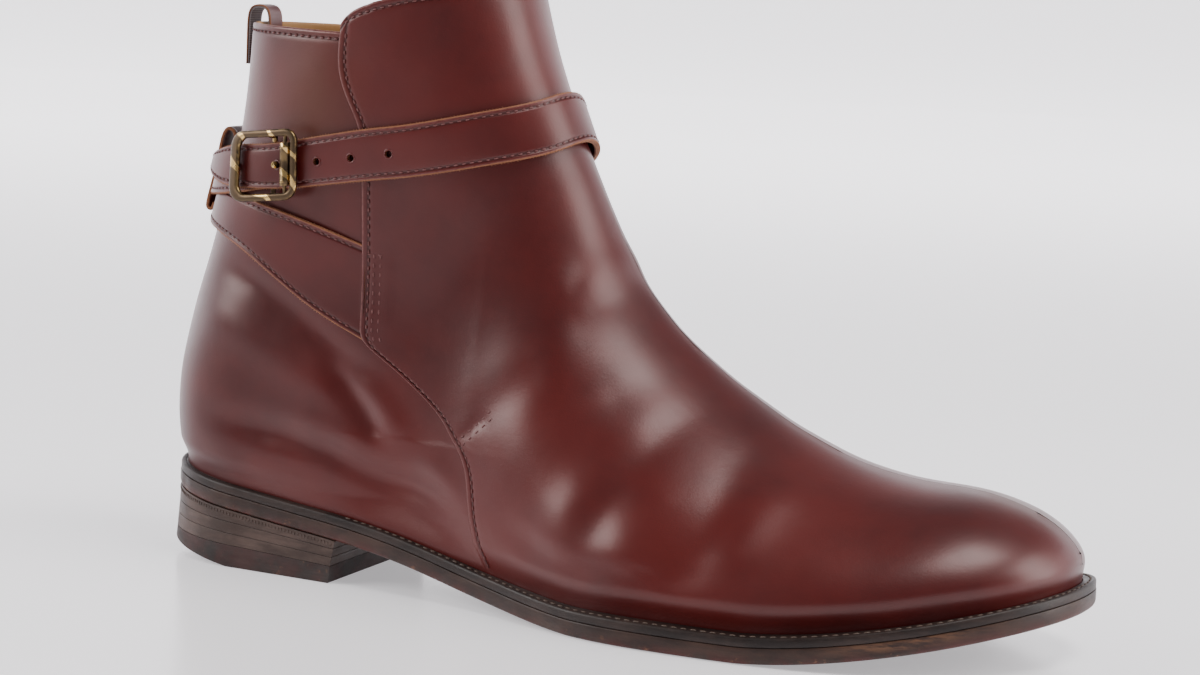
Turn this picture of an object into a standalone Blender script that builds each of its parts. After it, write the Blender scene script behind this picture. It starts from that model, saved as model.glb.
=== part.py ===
"""Jodhpur boot for the right foot, built as separate closed solids.

Run with: blender --background --python part.py

The boot stands on its heel and on the ball of its sole.  +X points to the toe,
+Y to the inner (medial) side and +Z up.  The origin is on the floor under the
heel, on its centre line and 36 mm ahead of its back.  Every table below is in
millimetres and is turned into metres when a mesh is made.
"""
import math

import bmesh
import bpy
import numpy as np

MM = 0.001

# Plan of the sole, measured from the heel's centre line
HEEL_BACK = -36.0
BALL = 160.0
TOE_TIP = 269.5
TOE_SWING = 4.0
PLAN = {
    "station": (0, 18, 38, 60, 80, 100, 120, 140, 160),
    "lateral": (32.0, 33.2, 34.6, 37.0, 40.8, 46.8, 54.4, 59.6, 60.8),
    "medial": (32.0, 31.6, 30.2, 28.4, 28.2, 31.4, 37.4, 43.0, 45.6),
}
TOE_CAP = {"lateral": (2.4, 2.1), "medial": (2.9, 2.2)}
HEEL_CAP = (2.1, 2.0)

# Underside of the outsole: heel seat, arch, flat tread and toe spring
PROFILE = {
    "station": (-36, -15, 5, 20, 38, 60, 85, 110, 130, 142, 159, 176,
                190, 205, 220, 235, 250, 262, 269.5),
    "height": (22.5, 19.8, 17.3, 15.5, 13.4, 9.9, 4.9, 1.3, -0.1, -0.2, -0.2, -0.2,
               0.6, 2.4, 4.9, 7.9, 11.3, 14.1, 15.8),
}
OUTSOLE = 5.0
WELT = 3.0
WELT_GAP = 0.5
SEAT_GAP = 0.1
CURVE_GAP = 0.3

# Distance of the upper's feather line from the edge of the sole
FEATHER = {
    "station": (-36, 20, 70, 110, 160, 215, 255, 269.5),
    "inset": (2.5, 2.6, 3.4, 5.2, 6.4, 6.2, 5.0, 4.3),
}

# Stacked heel: tops of the three lower pieces at the back and at the breast
HEEL_BREAST = 37.0
HEEL_PLANES = {"heel_lift_1": (17.4, 10.9), "heel_lift_2": (13.0, 8.2), "heel_top_piece": (8.5, 5.4)}
HEEL_WEAR = (-4.0, 5.0)
HEEL_EDGE = (0.3, -0.8)
BREAST_LEAN = (0.6, 2.0)

# Upper: one row per ring, from the feather line up to the top of the vamp tab
RINGS = {
    "ring": (0, 0.05, 0.10, 0.16, 0.24, 0.34, 0.44, 0.54,
             0.62, 0.70, 0.78, 0.86, 0.93, 1.0, 1.1),
    "front_x": (265.2, 265.1, 263.6, 256.5, 238.0, 208.0, 178.0, 150.5,
                131.5, 118.0, 109.5, 101.5, 94.5, 86.8, 81.5),
    "front_z": (22.9, 27.5, 32.0, 38.4, 45.2, 47.4, 56.4, 71.6,
                86.6, 103.0, 120.0, 136.5, 152.0, 172.0, 189.5),
    "back_x": (-33.5, -34.6, -35.5, -36.2, -36.3, -35.8, -34.3, -31.8,
               -29.0, -26.0, -22.4, -18.6, -16.0, -14.4, -14.0),
    "back_z": (30.5, 34.5, 39.5, 46.0, 54.0, 63.0, 73.0, 84.0,
               94.0, 105.0, 118.5, 134.5, 151.0, 174.0, 190.0),
    "dip": (0, 0.5, 2.0, 5.0, 8.0, 9.0, 7.0, 4.5, 2.5, 1.0, 0, 0, 0, 0, 0),
}
DIP_REACH = 0.2
LEG = {
    "height": (28, 40, 55, 72, 90, 110, 130, 150, 174, 190),
    "lateral": (31.5, 33.0, 33.0, 32.0, 31.0, 31.5, 32.5, 33.0, 33.0, 33.0),
    "medial": (30.5, 32.5, 32.5, 31.5, 30.5, 31.0, 32.0, 32.5, 33.0, 33.0),
    "back_round": (32, 34, 36, 39, 42, 46, 50, 52, 52, 52),
}
SECTION = {
    "station": (30, 70, 100, 130, 160, 190, 220, 245, 266),
    "rise": (2.6, 2.2, 1.9, 1.8, 1.9, 2.1, 2.3, 2.4, 2.4),
    "crown": (0.45, 0.55, 0.62, 0.62, 0.58, 0.54, 0.50, 0.50, 0.50),
    "ridge_shift": (0, 1.5, 4.0, 6.0, 7.0, 6.0, 3.5, 1.5, 0),
}
LEG_START = (35.0, 0.4)
LEG_BLEND = 60.0
LEG_POWER = (2.3, 2.0)
FOOT_BULGE = 0.45
FEATHER_BLEND = 9.0
WALL = 1.8
VAMP_STEP = 1.2
SIDE_COLUMNS = 26
SEAM_COLUMN = 12
RING_ROWS = 22

# Rear edge of the vamp, top to bottom, and the rounded corner of its tab
SEAM = {
    "height": (8, 14.4, 23.7, 31.4, 38.3, 47.6, 51.2, 56.4, 62.8, 68.8,
               74.3, 76.5, 79, 83, 93, 116, 130, 145, 153, 161, 175, 190),
    "x": (93.4, 90.2, 86.9, 84.9, 83.6, 79.4, 76.2, 71.6, 63.6, 55.0,
          46.6, 43.6, 41.7, 41.1, 41.0, 41.0, 40.8, 39.0, 35.0, 32.0, 32.0, 32.0),
}
TAB = {
    "ahead": (0, 0.6, 1.8, 4, 8, 14, 30, 52),
    "height": (174.8, 176.4, 178.0, 179.8, 181.7, 183.5, 187.0, 189.0),
}
TAB_STEPS = (0.4, 0.75, 1.0)

# Straps: one row per station along each band
STRAP = {
    "angle_low": (80.6, 69.2, 48.8, 21.8, 0, -30, -50, -70, -90, -120, -150, -180,
                  -205, -230, -255, -270, -290, -303, -318, -330, -339, -347),
    "z_low": (77.8, 88.5, 102.5, 108.2, 109.5, 112.0, 114.8, 118.0, 121.5, 127.0, 134.5, 141.0,
              138.6, 134.9, 130.4, 128.0, 124.4, 122.6, 121.0, 119.5, 121.8, 126.0),
    "angle_high": (86.0, 71.9, 52.6, 27.9, 0, -30, -50, -70, -90, -120, -150, -180,
                   -205, -230, -255, -270, -290, -303, -318, -330, -339, -347),
    "z_high": (107.4, 113.4, 118.0, 121.8, 127.0, 129.5, 132.0, 135.0, 138.0, 142.5, 149.5, 156.0,
               154.0, 150.5, 146.0, 143.6, 139.4, 136.8, 135.2, 134.5, 132.6, 128.6),
    "offset": (0.8, 0.6, 0.6, 1.2, 1.8, 1.7, 1.6, 1.6, 1.6, 1.9, 2.4, 2.8,
               2.8, 2.2, 1.8, 1.7, 2.0, 3.7, 4.9, 5.3, 5.5, 5.6),
    "thickness": (0.8, 1.5, 1.6, 1.6, 1.6, 1.6, 1.6, 1.6, 1.6, 1.7, 1.9, 2.0,
                  2.0, 1.8, 1.7, 1.7, 1.7, 1.6, 1.6, 1.6, 1.6, 1.4),
}
STRAP_STATIONS = 84
HOLE_X = (-1.0, 13.4, 26.6, 38.3, 50.8)
HOLE_RADIUS = 1.25
BUCKLE_STRAP = {
    "angle_low": (-80.6, -69.0, -49.0, -30, 0, 25, 45, 55),
    "z_low": (77.8, 85.5, 98.0, 106.5, 115.0, 117.5, 120.3, 122.4),
    "angle_high": (-86.0, -72.0, -51.0, -30, 0, 25, 45, 55),
    "z_high": (107.4, 110.4, 114.0, 120.5, 128.0, 132.0, 135.0, 136.6),
    "offset": (0.8, 1.6, 3.6, 3.8, 3.9, 3.4, 2.6, 1.4),
    "thickness": (0.8, 1.4, 1.4, 1.4, 1.4, 1.4, 1.4, 1.1),
}
BUCKLE_STRAP_STATIONS = 36

# Keeper loop at the back: height and stand-off of its middle line, top end first
KEEPER = {
    "height": (134.6, 137.0, 137.6, 134.0, 127.0, 119.5, 113.4, 110.9, 111.0, 113.0),
    "offset": (2.4, 3.4, 5.7, 6.9, 6.8, 6.7, 6.7, 6.1, 4.8, 4.4),
}
KEEPER_THICKNESS = 1.2
KEEPER_WIDTH = 11.0
STRIP_WIDTH = 7.0
STRIP_THICKNESS = 1.2
PULL_LOOP = {
    "x": (-18.2, -18.2, -18.0, -16.2, -13.0, -10.6, -10.4, -10.6),
    "z": (160.0, 168.0, 175.6, 178.6, 178.8, 176.0, 168.0, 161.0),
}
PULL_LOOP_WIDTH = 8.0
PULL_LOOP_THICKNESS = 1.1

# Buckle, laid on the shaft around its centre bar
BUCKLE_X = 10.0
BUCKLE_Z = 130.0
BUCKLE_OFFSET = 7.3
BUCKLE_TILT = 0.11
BUCKLE_SLOPE = 0.17
FRAME_HALF_LENGTH = (9.8, 10.2)
FRAME_HALF_HEIGHT = 9.9
FRAME_CORNER = (4.0, 3.0)
FRAME_ROD = {"side": 1.15, "end": 2.0}
FRAME_FLAT = {"side": 0.8, "end": 0.5}
BAR = {"along": (-1, -0.985, -0.955, -0.92, 0, 0.92, 0.955, 0.985, 1),
       "rise": (1, 0.7, 0.2, 0, 0, 0, 0.2, 0.7, 1)}
BAR_ROD = 0.8
BAR_OFFSET = 2.1
ROLLER_X = 7.4
ROLLER_RADIUS = (0.95, 1.5)
ROLLER_HALF = 6.6
PRONG = {"along": (1.6, 2.3, 3.0, 3.35, 3.45, 3.7, 4.5, 5.4),
         "offset": (2.1, 2.1, 2.3, 3.2, 5.0, 6.8, 7.9, 8.3)}
PRONG_ROD = 0.7
AXLE_ROD = 0.6
HOLE_REACH = (0.6, 9.6)

# Insole
INSOLE_GAP = 1.0
INSOLE_THICKNESS = 3.4


def smooth_curve(stations, values, at):
    """Natural cubic spline through a short table, held at its ends."""
    xs, ys = np.asarray(stations, float), np.asarray(values, float)
    count, step = len(xs), np.diff(xs)
    matrix, right = np.eye(count), np.zeros(count)
    for i in range(1, count - 1):
        matrix[i, i - 1:i + 2] = step[i - 1], 2 * (step[i - 1] + step[i]), step[i]
        right[i] = 6 * ((ys[i + 1] - ys[i]) / step[i] - (ys[i] - ys[i - 1]) / step[i - 1])
    bend = np.linalg.solve(matrix, right)
    at = np.clip(at, xs[0], xs[-1])
    i = np.clip(np.searchsorted(xs, at) - 1, 0, count - 2)
    near, far = at - xs[i], xs[i + 1] - at
    return ((bend[i] * far ** 3 + bend[i + 1] * near ** 3) / (6 * step[i])
            + (ys[i] / step[i] - bend[i] * step[i] / 6) * far
            + (ys[i + 1] / step[i] - bend[i + 1] * step[i] / 6) * near)


def table(rows, key, column, at):
    """Value of one named column of a table at the given key."""
    return smooth_curve(rows[key], rows[column], at)


def smoothstep(low, high, at):
    """Soft step from 0 at low to 1 at high."""
    t = np.clip((at - low) / (high - low), 0, 1)
    return t * t * (3 - 2 * t)


def rounded(u, power, root):
    """Height of a superellipse arc, 1 at u = 0 and 0 at u = 1."""
    return np.clip(1 - np.clip(u, 0, 1) ** power, 0, 1) ** (1 / root)


# Sole geometry


def half_width(x, side, inset, back, tip):
    """Half width of the plan outline on one side, moved in by the inset."""
    width = table(PLAN, "station", side, np.clip(x, 0, BALL)) - inset
    heel = rounded(np.clip(-x, 0, None) / -back, *HEEL_CAP)
    toe = rounded((x - BALL) / (tip - BALL), *TOE_CAP[side])
    return width * heel * toe


def swing(x):
    """Sideways drift of the centre line towards the inner side at the toe."""
    return TOE_SWING * np.clip((x - BALL) / (TOE_TIP - BALL), 0, 1) ** 2


def plan_sides(count, inset):
    """Stations with the outer and inner y of the outline; the inset may be a table or a number."""
    def inset_at(x):
        if isinstance(inset, dict):
            return np.interp(x, inset["station"], inset["inset"])
        return inset + 0 * x
    back = HEEL_BACK + float(inset_at(np.array(HEEL_BACK)))
    tip = TOE_TIP - float(inset_at(np.array(TOE_TIP)))
    x = back + (tip - back) * (1 - np.cos(np.linspace(0, math.pi, count))) / 2
    outer = swing(x) - half_width(x, "lateral", inset_at(x), back, tip)
    inner = swing(x) + half_width(x, "medial", inset_at(x), back, tip)
    return x, outer, inner


def sole_height(x):
    """Underside of the outsole, with the tread held flat on the floor."""
    return np.maximum(table(PROFILE, "station", "height", x), 0)


def outline_loop(count, inset, height):
    """Closed loop of the plan outline: outer side to the toe, inner side back."""
    x, outer, inner = plan_sides(count, inset)
    z = height(x)
    there = np.stack([x, outer, z], -1)
    back_again = np.stack([x, inner, z], -1)[-2:0:-1]
    return np.concatenate([there, back_again])


def heel_loop(count, inset, height, breast):
    """Closed loop of the heel: outer side to the breast, straight across, inner side back."""
    back = HEEL_BACK + inset
    turn = np.linspace(0, math.pi / 2, count)
    x = np.concatenate([back * np.cos(turn), np.linspace(0, breast, 4)[1:]])
    outer = -half_width(x, "lateral", inset, back, TOE_TIP)
    inner = half_width(x, "medial", inset, back, TOE_TIP)
    z = height(x)
    return np.concatenate([np.stack([x, outer, z], -1), np.stack([x, inner, z], -1)[:0:-1]])


# Upper geometry


def outsole_top(x):
    """Top of the outsole, where the welt and the upper are seated."""
    return sole_height(x) + OUTSOLE


def feather_height(x):
    """Height of the crease where the upper leaves the welt."""
    return outsole_top(x) + SEAT_GAP + WELT + CURVE_GAP


RING_SAMPLES = np.linspace(0, 1.1, 441)
FRONT_X = table(RINGS, "ring", "front_x", RING_SAMPLES)
FRONT_Z = table(RINGS, "ring", "front_z", RING_SAMPLES)
BACK_X = table(RINGS, "ring", "back_x", RING_SAMPLES)
BACK_Z = table(RINGS, "ring", "back_z", RING_SAMPLES)
INSTEP = RING_SAMPLES > 0.36


def back_at(z):
    """X of the back seam at a height."""
    return np.interp(z, BACK_Z, BACK_X)


def front_at(z):
    """X of the front ridge at a height; far ahead below the instep."""
    return np.interp(z, FRONT_Z[INSTEP], FRONT_X[INSTEP], left=220.0)


def ridge_at(x):
    """Height of the toe and instep ridge at a station."""
    return np.interp(x, FRONT_X[::-1], FRONT_Z[::-1])


def centre_at(x, z):
    """Middle line of the upper, drawn to the inner side over the instep."""
    rise = np.clip((z - feather_height(x)) / (ridge_at(x) - feather_height(x) + 1e-6), 0, 1)
    leg = leg_share(x, z)
    return swing(x) + table(SECTION, "station", "ridge_shift", x) * rise ** 2 * (1 - leg)


def leg_share(x, z):
    """1 where the horizontal slices of the leg rule, 0 where the foot sections do."""
    start = LEG_START[0] + LEG_START[1] * np.clip(z - LEG["height"][0], 0, None)
    return 1 - smoothstep(start, start + LEG_BLEND, x)


def upper_half_width(x, z, side):
    """Half width of the upper at a point of its side view."""
    low = feather_height(x)
    inset = np.interp(x, FEATHER["station"], FEATHER["inset"])
    back = HEEL_BACK + FEATHER["inset"][0]
    tip = TOE_TIP - FEATHER["inset"][-1]
    plan = half_width(x, side, inset, back, tip)
    rise = np.clip((z - low) / (ridge_at(x) - low + 1e-6), 0, 1)
    power = table(SECTION, "station", "rise", x)
    crown = table(SECTION, "station", "crown", x)
    foot = plan * (np.clip(1 - rise ** power, 0, 1) ** crown + FOOT_BULGE * rise * (1 - rise) ** 3)
    round_off = table(LEG, "height", "back_round", z)
    depth = front_at(z) - back_at(z)
    behind = np.clip((x - back_at(z)) / round_off, 0, 1)
    ahead = np.clip((front_at(z) - x) / np.maximum(depth - round_off, 30.0), 0, 1)
    leg = table(LEG, "height", side, z) * rounded(1 - behind, *LEG_POWER) * rounded(1 - ahead, *LEG_POWER)
    share = leg_share(x, z)
    shaped = share * leg + (1 - share) * foot
    seated = half_width(np.maximum(x, back), side, inset, back, tip)
    return seated + (shaped - seated) * smoothstep(0, FEATHER_BLEND, z - low)


def upper_point(x, z, lateral):
    """Point of the upper's base surface; lateral is True on the outer side."""
    outer = centre_at(x, z) - upper_half_width(x, z, "lateral")
    inner = centre_at(x, z) + upper_half_width(x, z, "medial")
    return np.stack([x, np.where(lateral, outer, inner), z], -1)


def ring_side_view(ring, share):
    """Side-view x and z on a ring at a share of the way from back to front."""
    fx, fz = table(RINGS, "ring", "front_x", ring), table(RINGS, "ring", "front_z", ring)
    bx, bz = table(RINGS, "ring", "back_x", ring), table(RINGS, "ring", "back_z", ring)
    x = bx + share * (fx - bx)
    straight = bz + share * (fz - bz)
    fx0, fz0 = RINGS["front_x"][0], RINGS["front_z"][0]
    bx0, bz0 = RINGS["back_x"][0], RINGS["back_z"][0]
    sag = feather_height(bx0 + share * (fx0 - bx0)) - (bz0 + share * (fz0 - bz0))
    away = (1 - share) / DIP_REACH
    dip = table(RINGS, "ring", "dip", ring) * away * np.exp(1 - away)
    return x, straight + sag * np.clip(1 - ring, 0, 1) ** 1.6 - dip


def seam_share(ring):
    """Share of the way along a ring at which it crosses the vamp's rear edge."""
    low, high = 0.05, 0.95
    for _ in range(40):
        middle = (low + high) / 2
        x, z = ring_side_view(np.array(ring), np.array(middle))
        if x < table(SEAM, "height", "x", z):
            low = middle
        else:
            high = middle
    return (low + high) / 2


def column_shares(ring):
    """Shares of the columns on one side of a ring, with the seam's column doubled."""
    seam = math.acos(1 - 2 * seam_share(ring))
    behind = np.linspace(0, seam, SEAM_COLUMN + 1)
    ahead = np.linspace(seam, math.pi, SIDE_COLUMNS - SEAM_COLUMN + 1)
    ahead[0] = seam + 0.004
    return (1 - np.cos(np.concatenate([behind, ahead]))) / 2


def ring_grid():
    """Base surface of the upper as rows of points around the boot, and the vamp mask."""
    rings = np.linspace(0, 1, RING_ROWS) ** 1.25
    per_side = SIDE_COLUMNS + 2
    vamp_side = np.arange(per_side) > SEAM_COLUMN
    around = np.concatenate([np.arange(per_side), np.arange(per_side - 2, 0, -1)])
    lateral = np.arange(len(around)) < per_side
    rows = []
    for ring in rings:
        share = column_shares(ring)[around]
        x, z = ring_side_view(np.full(len(around), ring), share)
        if ring == 0:
            skirt = upper_point(x, z, lateral)
            skirt[:, 2] = outsole_top(x) + CURVE_GAP
            rows.append(skirt)
        rows.append(upper_point(x, z, lateral))
    top = rows[-1]
    share = column_shares(1.0)[around]
    for step in TAB_STEPS:
        ahead = np.clip(top[:, 0] - SEAM["x"][-1], 0, None)
        z = top[:, 2] + (np.interp(ahead, TAB["ahead"], TAB["height"]) - top[:, 2]) * step
        x = back_at(z) + share * (front_at(z) - back_at(z))
        rows.append(upper_point(x, z, lateral))
    return np.array(rows), vamp_side[around]


def grid_normals(points):
    """Outward unit normals of a grid whose columns close into loops."""
    along = np.roll(points, -1, 1) - np.roll(points, 1, 1)
    up = np.gradient(points, axis=0)
    normal = np.cross(along, up)
    normal[0, :, 2] = 0
    normal[-1, :, 2] = 0
    return normal / np.linalg.norm(normal, axis=-1, keepdims=True)


def shaft_point(angle, z, offset):
    """Point over the leg: 0 degrees on the back seam, 90 outer side, -90 inner side."""
    def base(a, h):
        turn = np.radians(a)
        x = back_at(h) + (front_at(h) - back_at(h)) * (1 - np.cos(turn)) / 2
        return upper_point(x, h, np.sin(turn) > 0)
    angle, z = np.asarray(angle, float), np.asarray(z, float)
    around = base(angle + 1.5, z) - base(angle - 1.5, z)
    up = base(angle, z + 1.0) - base(angle, z - 1.0)
    normal = np.cross(around, up)
    normal /= np.linalg.norm(normal, axis=-1, keepdims=True)
    return base(angle, z) + normal * np.asarray(offset, float)[..., None]


def angle_for_x(x, z):
    """Angle on the outer side of the leg at which it passes a station."""
    share = np.clip((x - back_at(z)) / (front_at(z) - back_at(z)), 0, 1)
    return np.degrees(np.arccos(1 - 2 * share))


def angle_for_width(y, z):
    """Angle at which the back of the leg is y wide from its middle."""
    width = table(LEG, "height", "lateral", z)
    behind = 1 - (1 - (y / width) ** LEG_POWER[1]) ** (1 / LEG_POWER[0])
    share = behind * table(LEG, "height", "back_round", z) / (front_at(z) - back_at(z))
    return np.degrees(np.arccos(1 - 2 * share))


# Mesh makers


def material(name, colour, roughness, metallic=0.0):
    """Principled material in the colour of the real part."""
    made = bpy.data.materials.new(name)
    made.use_nodes = True
    shader = made.node_tree.nodes["Principled BSDF"]
    shader.inputs["Base Color"].default_value = (*colour, 1.0)
    shader.inputs["Roughness"].default_value = roughness
    shader.inputs["Metallic"].default_value = metallic
    made.diffuse_color = (*colour, 1.0)
    return made


def add_object(name, points, faces, look, sharp=40.0):
    """Object from points in millimetres, welded, turned outward and smooth shaded."""
    mesh = bpy.data.meshes.new(name)
    mesh.from_pydata([tuple(p) for p in np.asarray(points) * MM], [], faces)
    work = bmesh.new()
    work.from_mesh(mesh)
    bmesh.ops.remove_doubles(work, verts=work.verts, dist=0.00001)
    bmesh.ops.dissolve_degenerate(work, dist=0.000005, edges=work.edges)
    bmesh.ops.recalc_face_normals(work, faces=work.faces)
    work.to_mesh(mesh)
    work.free()
    made = bpy.data.objects.new(name, mesh)
    bpy.context.scene.collection.objects.link(made)
    mesh.materials.append(look)
    mesh.shade_smooth()
    mesh.set_sharp_from_angle(angle=math.radians(sharp))
    return made


def ladder_cap(start, count, flip):
    """Faces that close a loop whose two sides have matching stations."""
    faces = []
    left, right = start + 1, start + count - 1
    faces.append((start, left, right))
    while right - left > 2:
        faces.append((left, left + 1, right - 1, right))
        left, right = left + 1, right - 1
    if right - left == 2:
        faces.append((left, left + 1, right))
    return [f[::-1] for f in faces] if flip else faces


def skin(loops, cyclic):
    """Points and faces of a body skinned over loops of equal length."""
    count = len(loops[0])
    faces = []
    pairs = len(loops) if cyclic else len(loops) - 1
    for i in range(pairs):
        low, high = i * count, (i + 1) % len(loops) * count
        for j in range(count):
            k = (j + 1) % count
            faces.append((low + j, low + k, high + k, high + j))
    if not cyclic:
        faces += ladder_cap(0, count, True)
        faces += ladder_cap((len(loops) - 1) * count, count, False)
    return np.concatenate(loops), faces


def plate(inner, outer, wanted=None):
    """Closed body between two grids of points; wanted marks the cells that exist."""
    rows, columns = inner.shape[:2]
    cells = np.ones((rows - 1, columns - 1), bool) if wanted is None else wanted
    closed = cells.shape[1] == columns
    total = rows * columns
    faces = []

    def at(i, j, layer):
        return layer * total + i * columns + j % columns

    def exists(i, j):
        if closed:
            j %= columns
        return 0 <= i < cells.shape[0] and 0 <= j < cells.shape[1] and cells[i, j]

    for i in range(cells.shape[0]):
        for j in range(cells.shape[1]):
            if not cells[i, j]:
                continue
            corners = ((i, j), (i, j + 1), (i + 1, j + 1), (i + 1, j))
            faces.append(tuple(at(*c, 1) for c in corners))
            faces.append(tuple(at(*c, 0) for c in corners[::-1]))
            beyond = ((i - 1, j), (i, j + 1), (i + 1, j), (i, j - 1))
            for side, neighbour in enumerate(beyond):
                if not exists(*neighbour):
                    a, b = corners[side], corners[(side + 1) % 4]
                    faces.append((at(*b, 1), at(*a, 1), at(*a, 0), at(*b, 0)))
    points = np.concatenate([inner.reshape(-1, 3), outer.reshape(-1, 3)])
    used = sorted({v for f in faces for v in f})
    order = {v: n for n, v in enumerate(used)}
    return points[used], [tuple(order[v] for v in f) for f in faces]


def rod(path, radius, sides=8, cyclic=False, flat=1.0):
    """Tube along a path; radius and flat may vary, and flat below 1 squeezes it towards the shaft."""
    path = np.asarray(path, float)
    radius = np.broadcast_to(np.asarray(radius, float), (len(path),))
    flat = np.broadcast_to(np.asarray(flat, float), (len(path),))
    if cyclic:
        ahead = np.roll(path, -1, 0) - np.roll(path, 1, 0)
    else:
        ahead = np.gradient(path, axis=0)
    ahead /= np.linalg.norm(ahead, axis=1, keepdims=True)
    outward = shaft_point(angle_for_x(BUCKLE_X, BUCKLE_Z), BUCKLE_Z, 1.0)
    outward = outward - shaft_point(angle_for_x(BUCKLE_X, BUCKLE_Z), BUCKLE_Z, 0.0)
    guide = outward + 0.01 * np.array([0.3, 0.2, 0.9])
    across = np.cross(ahead, guide)
    across /= np.linalg.norm(across, axis=1, keepdims=True)
    rise = np.cross(across, ahead)
    loops = []
    turn = np.linspace(0, 2 * math.pi, sides, endpoint=False) + math.pi / sides
    for p, a, r, size, squeeze in zip(path, across, rise, radius, flat):
        loops.append(p + size * (np.outer(np.cos(turn), a) + squeeze * np.outer(np.sin(turn), r)))
    return skin(loops, cyclic)


def band(rows, stations, across=4):
    """Strap that follows the leg: a plate between its inner and outer faces."""
    index = np.arange(len(rows["offset"]))
    at = np.linspace(0, index[-1], stations)

    def column(name):
        return smooth_curve(index, rows[name], at)[:, None]

    share = np.linspace(0, 1, across)[None, :]
    angle = column("angle_low") * (1 - share) + column("angle_high") * share
    height = column("z_low") * (1 - share) + column("z_high") * share
    offset = column("offset") + 0 * share
    return shaft_point(angle, height, offset), shaft_point(angle, height, offset + column("thickness"))


def combine(target, points, faces, operation):
    """Join a solid to an object, or take it away, with an exact Boolean."""
    mesh = bpy.data.meshes.new("tool")
    mesh.from_pydata([tuple(p) for p in np.asarray(points) * MM], [], faces)
    work = bmesh.new()
    work.from_mesh(mesh)
    bmesh.ops.recalc_face_normals(work, faces=work.faces)
    work.to_mesh(mesh)
    work.free()
    tool = bpy.data.objects.new("tool", mesh)
    bpy.context.scene.collection.objects.link(tool)
    boolean = target.modifiers.new("combine", "BOOLEAN")
    boolean.operation = operation
    boolean.solver = "EXACT"
    boolean.object = tool
    graph = bpy.context.evaluated_depsgraph_get()
    result = bpy.data.meshes.new_from_object(target.evaluated_get(graph))
    target.modifiers.remove(boolean)
    target.data = result
    bpy.data.objects.remove(tool)


# Pieces


def build_outsole(look):
    """Outsole with its true outline, arch, toe spring and trimmed edge."""
    levels = ((1.0, 0.0), (0.0, 0.7), (0.0, OUTSOLE))
    loops = [outline_loop(46, inset, lambda x, up=up: sole_height(x) + up) for inset, up in levels]
    add_object("outsole", *skin(loops, False), look)


def build_welt(look):
    """Welt: a closed ring between the edge of the sole and the upper."""
    count = 46
    inside = {"station": FEATHER["station"], "inset": tuple(i - WELT_GAP for i in FEATHER["inset"])}
    base, top = SEAT_GAP, SEAT_GAP + WELT

    def height(up):
        return lambda x: outsole_top(x) + up

    loops = [outline_loop(count, 0.35, height(base)), outline_loop(count, 0.35, height(top - 0.6)),
             outline_loop(count, 0.9, height(top)), outline_loop(count, inside, height(top)),
             outline_loop(count, inside, height(base))]
    add_object("welt", *skin(loops, True), look)


def build_insole(look):
    """Insole with its filler, seated on the outsole inside the upper."""
    count = 34
    inset = {"station": FEATHER["station"],
             "inset": tuple(i + WALL + INSOLE_GAP for i in FEATHER["inset"])}
    loops = [outline_loop(count, inset, lambda x, up=up: outsole_top(x) + up)
             for up in (CURVE_GAP, CURVE_GAP + INSOLE_THICKNESS)]
    add_object("insole", *skin(loops, False), look)


def build_heel(leather, rubber):
    """Stacked heel: three leather lifts and a rubber top piece worn down at its back."""
    def plane(name):
        back, breast = HEEL_PLANES[name]
        return lambda x: back + (breast - back) * (x - HEEL_BACK) / (HEEL_BREAST - HEEL_BACK)

    def seat(x):
        return sole_height(x) - SEAT_GAP

    def ground(x):
        return HEEL_WEAR[1] * np.clip((HEEL_WEAR[0] - x) / (HEEL_WEAR[0] - HEEL_BACK), 0, 1)

    def raised(height):
        return lambda x: height(x) + SEAT_GAP

    stack = (("heel_base_lift", raised(plane("heel_lift_1")), seat, leather),
             ("heel_lift_1", raised(plane("heel_lift_2")), plane("heel_lift_1"), leather),
             ("heel_lift_2", raised(plane("heel_top_piece")), plane("heel_lift_2"), leather),
             ("heel_top_piece", ground, plane("heel_top_piece"), rubber))
    for level, (name, bottom, top, look) in enumerate(stack):
        shares = (1 - level / 4, 1 - (level + 1) / 4)
        insets = [HEEL_EDGE[1] + (HEEL_EDGE[0] - HEEL_EDGE[1]) * s for s in shares]
        leans = [BREAST_LEAN[1] + (BREAST_LEAN[0] - BREAST_LEAN[1]) * s for s in shares]
        breasts = [HEEL_BREAST - lean for lean in leans]
        loops = [heel_loop(12, insets[1], bottom, breasts[1]), heel_loop(12, insets[0], top, breasts[0])]
        add_object(name, *skin(loops, False), look)


def build_upper(look):
    """Hollow upper: one wall with the vamp lying over the quarters as a step."""
    base, vamp = ring_grid()
    normal = grid_normals(base)
    rows, columns = base.shape[:2]
    lift = smoothstep(0, FEATHER_BLEND, base[..., 2] - feather_height(base[..., 0]))
    outer = base + normal * (lift * vamp * VAMP_STEP)[..., None]
    inner = base - normal * WALL
    cells = np.ones((rows - 1, columns), bool)
    tab = vamp & np.roll(vamp, -1)
    cells[RING_ROWS:, :] = tab[None, :]
    add_object("upper", *plate(inner, outer, cells), look)


def build_straps(look):
    """Wrap strap with its wing and holes, and the strap that carries the buckle."""
    inner, outer = band(STRAP, STRAP_STATIONS)
    strap = add_object("strap", *plate(inner, outer), look)
    for x in HOLE_X:
        z = BUCKLE_Z + BUCKLE_SLOPE * (x - BUCKLE_X)
        angle = angle_for_x(x, z)
        ends = [shaft_point(angle, z, offset) for offset in HOLE_REACH]
        combine(strap, *rod(ends, HOLE_RADIUS), "DIFFERENCE")
    inner, outer = band(BUCKLE_STRAP, BUCKLE_STRAP_STATIONS)
    add_object("buckle_strap", *plate(inner, outer), look)


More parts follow.
